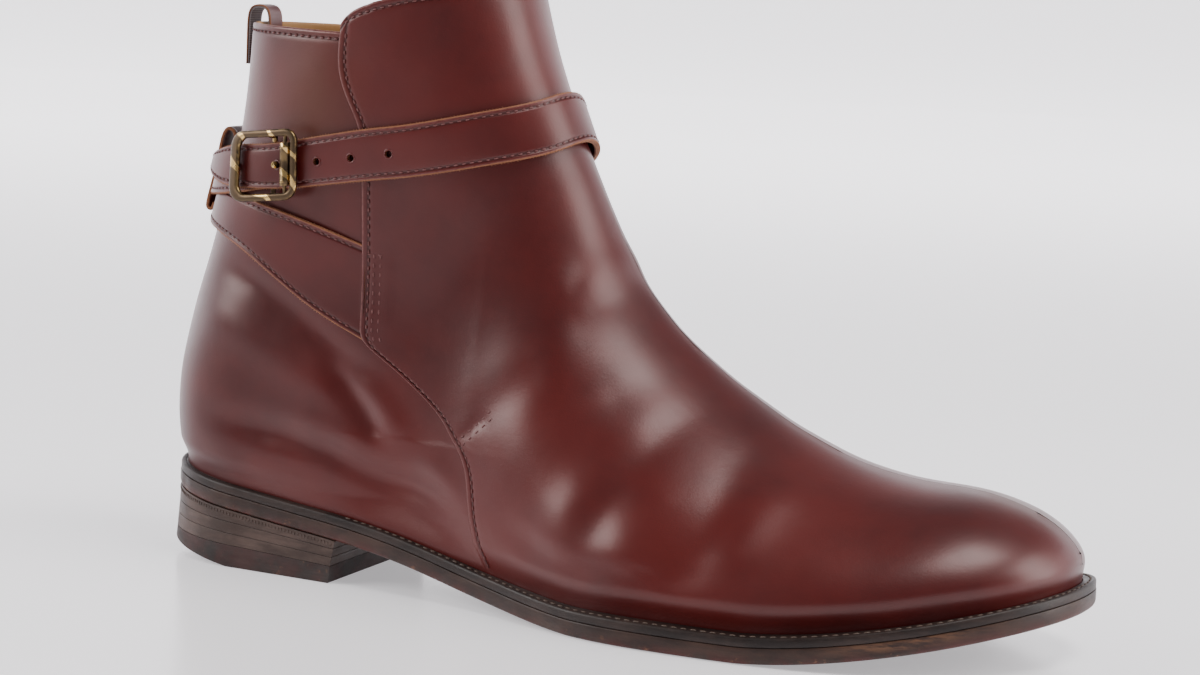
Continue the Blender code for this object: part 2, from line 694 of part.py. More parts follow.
def strip_along(heights, offsets, width, thickness, stations, look, name):
    """Narrow strip on the back seam: a plate along a line of heights and stand-offs."""
    index = np.arange(len(heights))
    at = np.linspace(0, index[-1], stations)
    height, offset = smooth_curve(index, heights, at), smooth_curve(index, offsets, at)
    along = np.stack([np.gradient(height), np.gradient(offset)], -1)
    along /= np.linalg.norm(along, axis=1, keepdims=True)
    faces = []
    for side in (-0.5, 0.5):
        z = height + side * thickness * along[:, 1]
        out = offset - side * thickness * along[:, 0]
        share = np.array([-1, 0, 1])[None, :]
        angle = angle_for_width(width / 2, z)[:, None] * share
        faces.append(shaft_point(angle, z[:, None] + 0 * share, out[:, None] + 0 * share))
    add_object(name, *plate(*faces), look)


def build_back(look, lining):
    """Back strip, keeper loop and pull loop along the back seam."""
    heights = np.linspace(RINGS["back_z"][0] + 2.0, RINGS["back_z"][-2] - 0.6, 12)
    offsets = np.full(12, CURVE_GAP + STRIP_THICKNESS / 2)
    strip_along(heights, offsets, STRIP_WIDTH, STRIP_THICKNESS, 24, look, "back_strip")
    strip_along(KEEPER["height"], KEEPER["offset"], KEEPER_WIDTH, KEEPER_THICKNESS, 30, look, "back_loop")
    index = np.arange(len(PULL_LOOP["x"]))
    at = np.linspace(0, index[-1], 22)
    x, z = smooth_curve(index, PULL_LOOP["x"], at), smooth_curve(index, PULL_LOOP["z"], at)
    along = np.stack([np.gradient(x), np.gradient(z)], -1)
    along /= np.linalg.norm(along, axis=1, keepdims=True)
    faces = []
    for side in (-0.5, 0.5):
        y = np.array([-0.5, 0, 0.5])[None, :] * PULL_LOOP_WIDTH
        px = (x - side * PULL_LOOP_THICKNESS * along[:, 1])[:, None] + 0.012 * y ** 2
        pz = (z + side * PULL_LOOP_THICKNESS * along[:, 0])[:, None] + 0 * y
        faces.append(np.stack([px, y + 0 * px, pz], -1))
    add_object("pull_loop", *plate(*faces), lining)


def buckle_point(u, v, offset):
    """Point over the shaft from the buckle's own length, height and stand-off."""
    x = BUCKLE_X + np.asarray(u, float)
    z = BUCKLE_Z + BUCKLE_SLOPE * np.asarray(u, float) + np.asarray(v, float)
    return shaft_point(angle_for_x(x, z), z, np.asarray(offset, float) + 0 * x)


def frame_offset(u):
    """Stand-off of the buckle frame, which tilts away from the shaft towards the tip."""
    return BUCKLE_OFFSET - BUCKLE_TILT * np.asarray(u, float)


def build_buckle(brass):
    """Buckle frame with its dropped centre bar and roller axle, the roller and the prong."""
    left, right = FRAME_HALF_LENGTH
    big, small = FRAME_CORNER
    height = FRAME_HALF_HEIGHT
    corners = ((right - small, height - small, small, 0), (big - left, height - big, big, 90),
               (big - left, big - height, big, 180), (right - small, small - height, small, 270))
    u, v = [], []
    for cu, cv, radius, start in corners:
        turn = np.radians(start + np.array([0, 30, 60, 90]))
        u.extend(cu + radius * np.cos(turn))
        v.extend(cv + radius * np.sin(turn))
    u, v = np.array(u), np.array(v)
    wide = np.clip((big - left - u) / big, 0, 1)
    rod_radius = FRAME_ROD["side"] + (FRAME_ROD["end"] - FRAME_ROD["side"]) * wide
    squeeze = FRAME_FLAT["side"] + (FRAME_FLAT["end"] - FRAME_FLAT["side"]) * wide
    ring = buckle_point(u, v, frame_offset(u))
    frame = add_object("buckle_frame", *rod(ring, rod_radius, 8, True, squeeze), brass)
    v = np.array(BAR["along"]) * height
    bar = BAR_OFFSET + (BUCKLE_OFFSET - BAR_OFFSET) * np.array(BAR["rise"])
    combine(frame, *rod(buckle_point(0 * v, v, bar), BAR_ROD, 8), "UNION")
    v = np.linspace(-1, 1, 5) * height
    axle = frame_offset(ROLLER_X)
    combine(frame, *rod(buckle_point(ROLLER_X + 0 * v, v, axle + 0 * v), AXLE_ROD, 8), "UNION")
    loops = []
    turn = np.linspace(0, 2 * math.pi, 12, endpoint=False)
    for size, end in ((ROLLER_RADIUS[1], -1), (ROLLER_RADIUS[1], 1), (ROLLER_RADIUS[0], 1),
                      (ROLLER_RADIUS[0], -1)):
        loops.append(buckle_point(ROLLER_X + size * np.cos(turn), end * ROLLER_HALF + 0 * turn,
                                  axle + size * np.sin(turn)))
    add_object("buckle_roller", *skin(loops, True), brass)
    u, offset = np.array(PRONG["along"]), np.array(PRONG["offset"])
    add_object("buckle_prong", *rod(buckle_point(u, 0 * u, offset), PRONG_ROD, 8), brass)


def main():
    """Clear the file and build every piece of the boot."""
    for stale in list(bpy.data.objects):
        bpy.data.objects.remove(stale, do_unlink=True)
    burgundy = material("burgundy leather", (0.13, 0.022, 0.022), 0.28)
    dark = material("dark sole leather", (0.045, 0.026, 0.02), 0.55)
    stacked = material("stacked heel leather", (0.05, 0.028, 0.02), 0.5)
    rubber = material("black rubber", (0.02, 0.018, 0.018), 0.7)
    tan = material("tan insole leather", (0.5, 0.3, 0.14), 0.6)
    loop = material("pull loop leather", (0.11, 0.02, 0.02), 0.4)
    brass = material("antique brass", (0.45, 0.33, 0.12), 0.35, 1.0)
    build_outsole(dark)
    build_welt(dark)
    build_insole(tan)
    build_heel(stacked, rubber)
    build_upper(burgundy)
    build_straps(burgundy)
    build_back(burgundy, loop)
    build_buckle(brass)


main()
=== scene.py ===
"""Finish of a right-foot jodhpur boot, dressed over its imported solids.

The boot's own sizes are in millimetres and are turned into metres when a mesh
is made.  +X points to the toe, +Y to the inner side and +Z up.
"""
import logging
import math
from collections.abc import Callable
from dataclasses import dataclass, field
from enum import Enum
from functools import cached_property

import bpy
import numpy as np
from mathutils import Matrix


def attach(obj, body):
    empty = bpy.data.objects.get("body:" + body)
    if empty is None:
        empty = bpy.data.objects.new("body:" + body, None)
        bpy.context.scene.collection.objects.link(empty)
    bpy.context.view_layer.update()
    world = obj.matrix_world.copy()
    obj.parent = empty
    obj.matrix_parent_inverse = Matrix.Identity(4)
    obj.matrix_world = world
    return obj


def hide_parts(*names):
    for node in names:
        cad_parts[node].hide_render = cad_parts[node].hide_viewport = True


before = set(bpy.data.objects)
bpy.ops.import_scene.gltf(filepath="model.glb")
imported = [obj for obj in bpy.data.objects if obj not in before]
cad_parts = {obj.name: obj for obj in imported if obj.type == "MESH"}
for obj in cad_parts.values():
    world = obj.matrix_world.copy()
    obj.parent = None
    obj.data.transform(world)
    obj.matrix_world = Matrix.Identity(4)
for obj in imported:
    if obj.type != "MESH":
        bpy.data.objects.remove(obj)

MM = 0.001
BODY = "root"
SHARP = 50.0        # angle in degrees above which a finished edge stays sharp
NO_EDGE = 9.0       # distance in millimetres stored where no edge or seam is near
UP = np.array([0.0, 0.0, 1.0])
PROBE = 0.5         # half step in millimetres between points that give a tangent
PROBE_ANGLE = 1.5   # the same around the leg, in degrees
PROBE_HEIGHT = 1.0  # the same up the leg
Array = np.ndarray
Table = dict[str, tuple[float, ...]]
Colour = tuple[float, float, float]
LOG = logging.getLogger("boot")


class Side(Enum):
    """Side of the boot."""

    OUTER = "lateral"
    INNER = "medial"


def smooth_curve(stations: Array, values: Array, at: Array) -> Array:
    """Natural cubic spline through a short table, held at its ends.

    Args:
        stations: Rising places of the table's rows.
        values: Value of each row.
        at: Places to read.

    Returns:
        The value at each place.
    """
    xs, ys = np.asarray(stations, float), np.asarray(values, float)
    count, step = len(xs), np.diff(xs)
    matrix, right = np.eye(count), np.zeros(count)
    for i in range(1, count - 1):
        matrix[i, i - 1:i + 2] = step[i - 1], 2 * (step[i - 1] + step[i]), step[i]
        right[i] = 6 * ((ys[i + 1] - ys[i]) / step[i] - (ys[i] - ys[i - 1]) / step[i - 1])
    bend = np.linalg.solve(matrix, right)
    at = np.clip(at, xs[0], xs[-1])
    i = np.clip(np.searchsorted(xs, at) - 1, 0, count - 2)
    near, far = at - xs[i], xs[i + 1] - at
    return ((bend[i] * far ** 3 + bend[i + 1] * near ** 3) / (6 * step[i])
            + (ys[i] / step[i] - bend[i] * step[i] / 6) * far
            + (ys[i + 1] / step[i] - bend[i + 1] * step[i] / 6) * near)


def even_curve(columns: tuple[Array, ...], count: int) -> list[Array]:
    """Smooth curve through a short list of points.

    Args:
        columns: Each coordinate of the points.
        count: Places to read, even in the points' numbers.

    Returns:
        Each coordinate at those places.
    """
    index = np.arange(len(columns[0]))
    at = np.linspace(0, index[-1], count)
    return [smooth_curve(index, column, at) for column in columns]


def table(rows: Table, key: str, column: str, at: Array) -> Array:
    """Read one named column of a table.

    Args:
        rows: The table.
        key: Column that holds the stations.
        column: Column to read.
        at: Places to read.

    Returns:
        The column's value at each place.
    """
    return smooth_curve(rows[key], rows[column], at)


def smoothstep(low: float, high: float, at: Array) -> Array:
    """Soft step.

    Args:
        low: Where the step starts.
        high: Where it ends.
        at: Places to read.

    Returns:
        0 below low, 1 above high and a smooth rise between.
    """
    t = np.clip((at - low) / (high - low), 0, 1)
    return t * t * (3 - 2 * t)


def rounded(u: Array, power: float, root: float) -> Array:
    """Superellipse arc.

    Args:
        u: Share of the way from the arc's crown to its end.
        power: Fullness along the arc.
        root: Fullness across it.

    Returns:
        Height of the arc, 1 at u = 0 and 0 at u = 1.
    """
    return np.clip(1 - np.clip(u, 0, 1) ** power, 0, 1) ** (1 / root)


def unit(vectors: Array) -> Array:
    """Vectors at length one."""
    return vectors / (np.linalg.norm(vectors, axis=-1, keepdims=True) + 1e-12)


def circle(count: int) -> Array:
    """Even turns round a circle, in radians."""
    return np.linspace(0, 2 * math.pi, count, endpoint=False)


def between(pair: tuple[float | Array, float | Array], share: float | Array) -> float | Array:
    """Value at a share of the way from the first of a pair to the second."""
    return pair[0] + (pair[1] - pair[0]) * share


@dataclass(frozen=True)
class Crease:
    """Soft trough or ridge in the upper, drawn on its side view.

    A positive depth is a trough and a negative one a ridge.
    """

    path: tuple[tuple[float, float], ...]
    depth: float
    width: float
    sides: tuple[Side, ...] = (Side.OUTER,)


@dataclass(frozen=True)
class Last:
    """Form of the boot: the tables of its last and the surfaces that they rule."""

    heel_back: float = -36.0
    ball: float = 160.0
    toe_tip: float = 269.5
    toe_swing: float = 4.0
    outsole: float = 5.0
    welt: float = 3.0
    seat_gap: float = 0.1
    curve_gap: float = 0.3
    wall: float = 1.8
    vamp_step: float = 1.2
    feather_blend: float = 9.0
    foot_bulge: float = 0.45
    seat_power: int = 6
    least_ahead: float = 30.0
    dip_reach: float = 0.2
    sag_power: float = 1.6
    last_ring: float = 1.1
    ring_samples: int = 6601
    instep_ring: float = 0.36
    front_far: float = 220.0
    seam_halvings: int = 40
    crease_samples: int = 8
    crease_taper: float = 1.6
    ripple: float = 0.10
    leg_start: tuple[float, float] = (35.0, 0.4)
    leg_blend: float = 60.0
    leg_power: tuple[float, float] = (2.3, 2.0)
    heel_cap: tuple[float, float] = (2.1, 2.0)
    toe_cap: dict[str, tuple[float, float]] = field(
        default_factory=lambda: {"lateral": (2.4, 2.1), "medial": (2.9, 2.2)})
    plan: Table = field(default_factory=lambda: {
        "station": (0, 18, 38, 60, 80, 100, 120, 140, 160),
        "lateral": (32.0, 33.2, 34.6, 37.0, 40.8, 46.8, 54.4, 59.6, 60.8),
        "medial": (32.0, 31.6, 30.2, 28.4, 28.2, 31.4, 37.4, 43.0, 45.6)})
    profile: Table = field(default_factory=lambda: {
        "station": (-36, -15, 5, 20, 38, 60, 85, 110, 130, 142, 159, 176,
                    190, 205, 220, 235, 250, 262, 269.5),
        "height": (22.5, 19.8, 17.3, 15.5, 13.4, 9.9, 4.9, 1.3, -0.1, -0.2, -0.2, -0.2,
                   0.6, 2.4, 4.9, 7.9, 11.3, 14.1, 15.8)})
    feather: Table = field(default_factory=lambda: {
        "station": (-36, 20, 70, 110, 160, 215, 255, 269.5),
        "inset": (2.5, 2.6, 3.4, 5.2, 6.4, 6.2, 5.0, 4.3)})
    rings: Table = field(default_factory=lambda: {
        "ring": (0, 0.05, 0.10, 0.16, 0.24, 0.34, 0.44, 0.54,
                 0.62, 0.70, 0.78, 0.86, 0.93, 1.0, 1.1),
        "front_x": (265.2, 265.1, 263.6, 256.5, 238.0, 208.0, 178.0, 150.5,
                    131.5, 118.0, 109.5, 101.5, 94.5, 86.8, 81.5),
        "front_z": (22.9, 27.5, 32.0, 38.4, 45.2, 47.4, 56.4, 71.6,
                    86.6, 103.0, 120.0, 136.5, 152.0, 172.0, 189.5),
        "back_x": (-33.5, -34.6, -35.5, -36.2, -36.3, -35.8, -34.3, -31.8,
                   -29.0, -26.0, -22.4, -18.6, -16.0, -14.4, -14.0),
        "back_z": (30.5, 34.5, 39.5, 46.0, 54.0, 63.0, 73.0, 84.0,
                   94.0, 105.0, 118.5, 134.5, 151.0, 174.0, 190.0),
        "dip": (0, 0.5, 2.0, 5.0, 8.0, 9.0, 7.0, 4.5, 2.5, 1.0, 0, 0, 0, 0, 0)})
    leg: Table = field(default_factory=lambda: {
        "height": (28, 40, 55, 72, 90, 110, 130, 150, 174, 190),
        "lateral": (31.5, 33.0, 33.0, 32.0, 31.0, 31.5, 32.5, 33.0, 33.0, 33.0),
        "medial": (30.5, 32.5, 32.5, 31.5, 30.5, 31.0, 32.0, 32.5, 33.0, 33.0),
        "back_round": (32, 34, 36, 39, 42, 46, 50, 52, 52, 52)})
    section: Table = field(default_factory=lambda: {
        "station": (30, 70, 100, 130, 160, 190, 220, 245, 266),
        "rise": (2.6, 2.2, 1.9, 1.8, 1.9, 2.1, 2.3, 2.4, 2.4),
        "crown": (0.45, 0.55, 0.62, 0.62, 0.58, 0.54, 0.50, 0.50, 0.50),
        "ridge_shift": (0, 1.5, 4.0, 6.0, 7.0, 6.0, 3.5, 1.5, 0)})
    seam: Table = field(default_factory=lambda: {
        "height": (8, 14.4, 23.7, 31.4, 38.3, 47.6, 51.2, 56.4, 62.8, 68.8,
                   74.3, 76.5, 79, 83, 93, 116, 130, 145, 153, 161, 175, 190),
        "x": (93.4, 90.2, 86.9, 84.9, 83.6, 79.4, 76.2, 71.6, 63.6, 55.0,
              46.6, 43.6, 41.7, 41.1, 41.0, 41.0, 40.8, 39.0, 35.0, 32.0, 32.0, 32.0)})
    tab: Table = field(default_factory=lambda: {
        "root_ahead": (0, 0.77, 1.34, 2.0, 2.83, 3.74, 5.48, 7.4),
        "height": (174.8, 176.4, 178.0, 179.8, 181.7, 183.5, 187.0, 189.0)})
    creases: tuple[Crease, ...] = (
        Crease(((-14, 97), (2, 92), (20, 82), (37, 71), (50, 64)), 1.0, 4.5),
        Crease(((-22, 84), (0, 76), (20, 66), (32, 60)), -0.8, 7.0),
        Crease(((30, 70), (38, 62), (45, 54), (50, 46)), 1.7, 3.8),
        Crease(((41, 67), (51, 57), (58, 48)), -0.7, 4.5),
        Crease(((-16, 49), (8, 46), (31, 42), (47, 36), (63, 33), (80, 29)), 1.8, 5.0),
        Crease(((20, 50), (34, 47), (44, 44)), -0.6, 5.0),
        Crease(((66, 45), (74, 38), (80, 31)), -0.6, 5.0),
        Crease(((84, 56), (90, 62), (99, 70), (108, 76)), 0.8, 6.5),
        Crease(((104, 62), (118, 67), (130, 70)), 0.7, 8.0),
        Crease(((98, 82), (108, 89), (116, 96)), 0.4, 7.0, (Side.OUTER, Side.INNER)),
        Crease(((104, 94), (112, 101), (117, 107)), -0.5, 6.0, (Side.OUTER, Side.INNER)),
        Crease(((118, 25), (121, 34), (127, 44)), -0.7, 8.0),
        Crease(((128, 22), (133, 37), (141, 52), (150, 66)), 0.8, 6.0),
        Crease(((142, 24), (146, 34), (152, 46)), -0.6, 7.5),
        Crease(((161, 20), (166, 32), (168, 46), (166, 58)), 0.75, 6.5, (Side.OUTER, Side.INNER)),
        Crease(((173, 24), (178, 36), (182, 46)), -0.6, 7.0),
        Crease(((80.5, 51), (84, 55), (89, 59.5)), 0.55, 1.3),
        Crease(((49.8, 106), (49.6, 92), (49.0, 78)), -0.4, 1.8),
        Crease(((45.2, 104), (45.0, 92), (44.6, 79)), -0.3, 1.2),
        Crease(((98, 28), (112, 23), (126, 20), (154, 21), (182, 25)), 0.7, 4.5),
        Crease(((150, 24), (150, 40), (148, 60)), 0.8, 6.0, (Side.INNER,)),
        Crease(((50, 96), (54, 70), (60, 48)), 0.8, 9.0, (Side.INNER,)),
        Crease(((-10, 62), (18, 52), (44, 40)), 0.9, 6.0, (Side.INNER,)),
    )

    def half_width(self, x: Array, side: Side, inset: Array, back: float, tip: float) -> Array:
        """Half width of the sole's plan on one side.

        Args:
            x: Stations.
            side: Side of the boot.
            inset: How far the outline is moved in.
            back: Rear end of the outline.
            tip: Front end of the outline.

        Returns:
            The half width at each station.
        """
        width = table(self.plan, "station", side.value, np.clip(x, 0, self.ball)) - inset
        heel = rounded(np.clip(-x, 0, None) / -back, *self.heel_cap)
        toe = rounded((x - self.ball) / (tip - self.ball), *self.toe_cap[side.value])
        return width * heel * toe

    def swing(self, x: Array) -> Array:
        """Sideways drift of the centre line towards the inner side at the toe."""
        return self.toe_swing * np.clip((x - self.ball) / (self.toe_tip - self.ball), 0, 1) ** 2

    def sole_height(self, x: Array) -> Array:
        """Underside of the outsole, with the tread held flat on the floor."""
        return np.maximum(table(self.profile, "station", "height", x), 0)

    def outsole_top(self, x: Array) -> Array:
        """Top of the outsole."""
        return self.sole_height(x) + self.outsole

    def welt_top(self, x: Array) -> Array:
        """Top face of the welt."""
        return self.outsole_top(x) + self.seat_gap + self.welt

    def feather_height(self, x: Array) -> Array:
        """Height of the crease where the upper leaves the welt."""
        return self.welt_top(x) + self.curve_gap

    def feather_inset(self, x: Array) -> Array:
        """Distance of the feather line from the sole's edge."""
        return np.interp(x, self.feather["station"], self.feather["inset"])

    def outline(self, count: int, inset: float | Callable, height: Callable,
                stop: tuple[float, float] | None = None) -> Array:
        """Loop of the plan outline: outer side to the toe, inner side back.

        Args:
            count: Stations along each side.
            inset: Distance from the edge, as a number or as a function of x.
            height: Function that gives z at each station.
            stop: Lowest and highest station, to cut the loop short.

        Returns:
            The loop's points, in millimetres.
        """
        at = inset if callable(inset) else (lambda x: inset + 0 * x)
        back = self.heel_back + float(at(np.array(self.heel_back)))
        tip = self.toe_tip - float(at(np.array(self.toe_tip)))
        low, high = (back, tip) if stop is None else stop
        x = low + (high - low) * (1 - np.cos(np.linspace(0, math.pi, count))) / 2
        outer = self.swing(x) - self.half_width(x, Side.OUTER, at(x), back, tip)
        inner = self.swing(x) + self.half_width(x, Side.INNER, at(x), back, tip)
        z = height(x)
        there = np.stack([x, outer, z], -1)
        return np.concatenate([there, np.stack([x, inner, z], -1)[-2:0:-1]])

    @cached_property
    def ends(self) -> dict[str, Array]:
        """Front ridge and back seam, read closely from the rings' table.

        Returns:
            The rings and the four columns that are read at them, by name.
        """
        at = np.linspace(0, self.last_ring, self.ring_samples)
        names = ("front_x", "front_z", "back_x", "back_z")
        return {"ring": at, **{n: table(self.rings, "ring", n, at) for n in names}}

    def back_at(self, z: Array) -> Array:
        """X of the back seam at a height."""
        return np.interp(z, self.ends["back_z"], self.ends["back_x"])

    def front_at(self, z: Array) -> Array:
        """X of the front ridge, far ahead below the instep.

        Args:
            z: Heights.

        Returns:
            X at each height.
        """
        instep = self.ends["ring"] > self.instep_ring
        known_x, known_z = (self.ends[n][instep] for n in ("front_x", "front_z"))
        return np.interp(z, known_z, known_x, left=self.front_far)

    def ridge_at(self, x: Array) -> Array:
        """Height of the toe and instep ridge at a station."""
        return np.interp(x, self.ends["front_x"][::-1], self.ends["front_z"][::-1])

    def leg_share(self, x: Array, z: Array) -> Array:
        """1 where the level slices of the leg rule, 0 where the foot's sections do."""
        start = self.leg_start[0] + self.leg_start[1] * np.clip(z - self.leg["height"][0], 0, None)
        return 1 - smoothstep(start, start + self.leg_blend, x)

    def rise(self, x: Array, z: Array) -> Array:
        """Share of the way from the feather line up to the ridge."""
        low = self.feather_height(x)
        return np.clip((z - low) / (self.ridge_at(x) - low + 1e-6), 0, 1)

    def centre_at(self, x: Array, z: Array) -> Array:
        """Middle line of the upper, drawn to the inner side over the instep."""
        shift = table(self.section, "station", "ridge_shift", x) * self.rise(x, z) ** 2
        return self.swing(x) + shift * (1 - self.leg_share(x, z))

    def upper_half_width(self, x: Array, z: Array, side: Side) -> Array:
        """Half width of the upper at a point of its side view.

        Args:
            x: Stations.
            z: Heights.
            side: Side of the boot.

        Returns:
            The half width at each point.
        """
        low, inset = self.feather_height(x), self.feather_inset(x)
        back = self.heel_back + self.feather["inset"][0]
        tip = self.toe_tip - self.feather["inset"][-1]
        plan = self.half_width(x, side, inset, back, tip)
        rise = self.rise(x, z)
        power, crown = (table(self.section, "station", n, x) for n in ("rise", "crown"))
        bulge = self.foot_bulge * rise * (1 - rise) ** 3
        foot = plan * (np.clip(1 - rise ** power, 0, 1) ** crown + bulge)
        round_off = table(self.leg, "height", "back_round", z)
        depth = self.front_at(z) - self.back_at(z)
        behind = np.clip((x - self.back_at(z)) / round_off, 0, 1)
        ahead = np.clip((self.front_at(z) - x) / np.maximum(depth - round_off, self.least_ahead),
                        0, 1)
        leg = table(self.leg, "height", side.value, z)
        leg = leg * rounded(1 - behind, *self.leg_power) * rounded(1 - ahead, *self.leg_power)
        share = self.leg_share(x, z)
        shaped = share * leg + (1 - share) * foot
        seated = self.half_width(np.maximum(x, back), side, inset, back, tip)
        seated = seated * np.sqrt(1 - rise ** self.seat_power)
        return seated + (shaped - seated) * smoothstep(0, self.feather_blend, z - low)

    def upper_point(self, x: Array, z: Array, outer: Array) -> Array:
        """Point of the upper's base surface.

        Args:
            x: Stations.
            z: Heights.
            outer: True on the outer side.

        Returns:
            The points, in millimetres.
        """
        left = self.centre_at(x, z) - self.upper_half_width(x, z, Side.OUTER)
        right = self.centre_at(x, z) + self.upper_half_width(x, z, Side.INNER)
        return np.stack([x, np.where(outer, left, right), z], -1)

    def ring_view(self, ring: Array, share: Array) -> tuple[Array, Array]:
        """Side view of a ring.

        Args:
            ring: Ring, 0 at the feather line and 1 at the collar.
            share: Share of the way from the back to the front.

        Returns:
            x and z of each point.
        """
        fx, fz, bx, bz, dip = (table(self.rings, "ring", n, ring)
                               for n in ("front_x", "front_z", "back_x", "back_z", "dip"))
        first = {n: self.rings[n][0] for n in ("front_x", "front_z", "back_x", "back_z")}
        low_x = first["back_x"] + share * (first["front_x"] - first["back_x"])
        low_z = first["back_z"] + share * (first["front_z"] - first["back_z"])
        sag = self.feather_height(low_x) - low_z
        away = (1 - share) / self.dip_reach
        z = bz + share * (fz - bz) + sag * np.clip(1 - ring, 0, 1) ** self.sag_power
        return bx + share * (fx - bx), z - dip * away * np.exp(1 - away)

    def seam_x(self, z: Array) -> Array:
        """X of the vamp's rear edge at a height."""
        return table(self.seam, "height", "x", z)

    def seam_share(self, ring: Array) -> Array:
        """Share of the way along each ring at which it crosses the vamp's rear edge.

        Args:
            ring: The rings.

        Returns:
            The share on each ring, found by halving.
        """
        low, high = np.full(ring.shape, 0.05), np.full(ring.shape, 0.95)
        for _ in range(self.seam_halvings):
            middle = (low + high) / 2
            x, z = self.ring_view(ring, middle)
            behind = x < self.seam_x(z)
            low, high = np.where(behind, middle, low), np.where(behind, high, middle)
        return (low + high) / 2

    def lift(self, x: Array, z: Array) -> Array:
        """0 at the feather line, 1 where the vamp has its full step."""
        return smoothstep(0, self.feather_blend, z - self.feather_height(x))

    def relief(self, points: Array) -> Array:
        """Height of the creases over the base surface.

        Args:
            points: Points of the base surface.

        Returns:
            The height at each point, negative in a trough.
        """
        flat = points.reshape(-1, 3)
        total = np.zeros(len(flat))
        for crease in self.creases:
            knots = np.arange(len(crease.path))
            at = np.linspace(0, knots[-1], self.crease_samples * len(knots))
            x, z = (smooth_curve(knots, [p[i] for p in crease.path], at) for i in (0, 1))
            taper = np.clip(np.sin(np.linspace(0, math.pi, len(at))) * self.crease_taper, 0, 1)
            for side in crease.sides:
                line = self.upper_point(x, z, np.full(len(x), side is Side.OUTER))
                away = np.linalg.norm(flat[:, None, :] - line[None], axis=-1) / crease.width
                total -= crease.depth * (taper * np.exp(-away ** 2)).max(1)
        x, y, z = flat.T
        waves = (np.sin(x * 0.11 + z * 0.07) * np.sin(z * 0.13 + 1.0)
                 + 0.6 * np.sin(x * 0.23 - z * 0.17 + y * 0.05))
        return (total + self.ripple * waves).reshape(points.shape[:-1])

    def over_upper(self, x: Array, z: Array, side: Side, out: Array) -> tuple[Array, Array]:
        """Points that stand off the creased upper.

        Args:
            x: Stations.
            z: Heights.
            side: Side of the boot.
            out: Distance from the base surface.

        Returns:
            The points and the surface's outward normals.
        """
        x, z = np.asarray(x, float), np.asarray(z, float)
        outer = np.full(x.shape, side is Side.OUTER)
        along = self.upper_point(x + PROBE, z, outer) - self.upper_point(x - PROBE, z, outer)
        up = self.upper_point(x, z + PROBE, outer) - self.upper_point(x, z - PROBE, outer)
        normal = unit(np.cross(along, up)) * (1 if side is Side.OUTER else -1)
        base = self.upper_point(x, z, outer)
        return base + normal * (self.relief(base) + out)[..., None], normal

    def shaft_point(self, angle: Array, z: Array, offset: Array) -> Array:
        """Point over the leg.

        Args:
            angle: Degrees, 0 on the back seam, 90 on the outer side, -90 on the inner.
            z: Height.
            offset: Distance from the base surface.

        Returns:
            The points, in millimetres.
        """
        def base(a: Array, h: Array) -> Array:
            """Point on the base surface.

            Args:
                a: Degrees round the leg.
                h: Height.

            Returns:
                The points.
            """
            turn = np.radians(a)
            x = self.back_at(h) + (self.front_at(h) - self.back_at(h)) * (1 - np.cos(turn)) / 2
            return self.upper_point(x, h, np.sin(turn) > 0)

        angle, z = np.asarray(angle, float), np.asarray(z, float)
        around = base(angle + PROBE_ANGLE, z) - base(angle - PROBE_ANGLE, z)
        up = base(angle, z + PROBE_HEIGHT) - base(angle, z - PROBE_HEIGHT)
        normal = unit(np.cross(around, up))
        return base(angle, z) + normal * np.asarray(offset, float)[..., None]

    def angle_for_x(self, x: Array, z: Array) -> Array:
        """Angle on the outer side of the leg at which it passes a station."""
        share = np.clip((x - self.back_at(z)) / (self.front_at(z) - self.back_at(z)), 0, 1)
        return np.degrees(np.arccos(1 - 2 * share))

    def angle_for_width(self, y: Array, z: Array) -> Array:
        """Angle at which the back of the leg is y wide from its middle.

        Args:
            y: Distances from the back seam, across the boot.
            z: Heights.

        Returns:
            The angles, in degrees.
        """
        width = table(self.leg, "height", "lateral", z)
        behind = 1 - (1 - (y / width) ** self.leg_power[1]) ** (1 / self.leg_power[0])
        share = behind * table(self.leg, "height", "back_round", z)
        share = share / (self.front_at(z) - self.back_at(z))
        return np.degrees(np.arccos(1 - 2 * share))


# Shader graphs and finishes


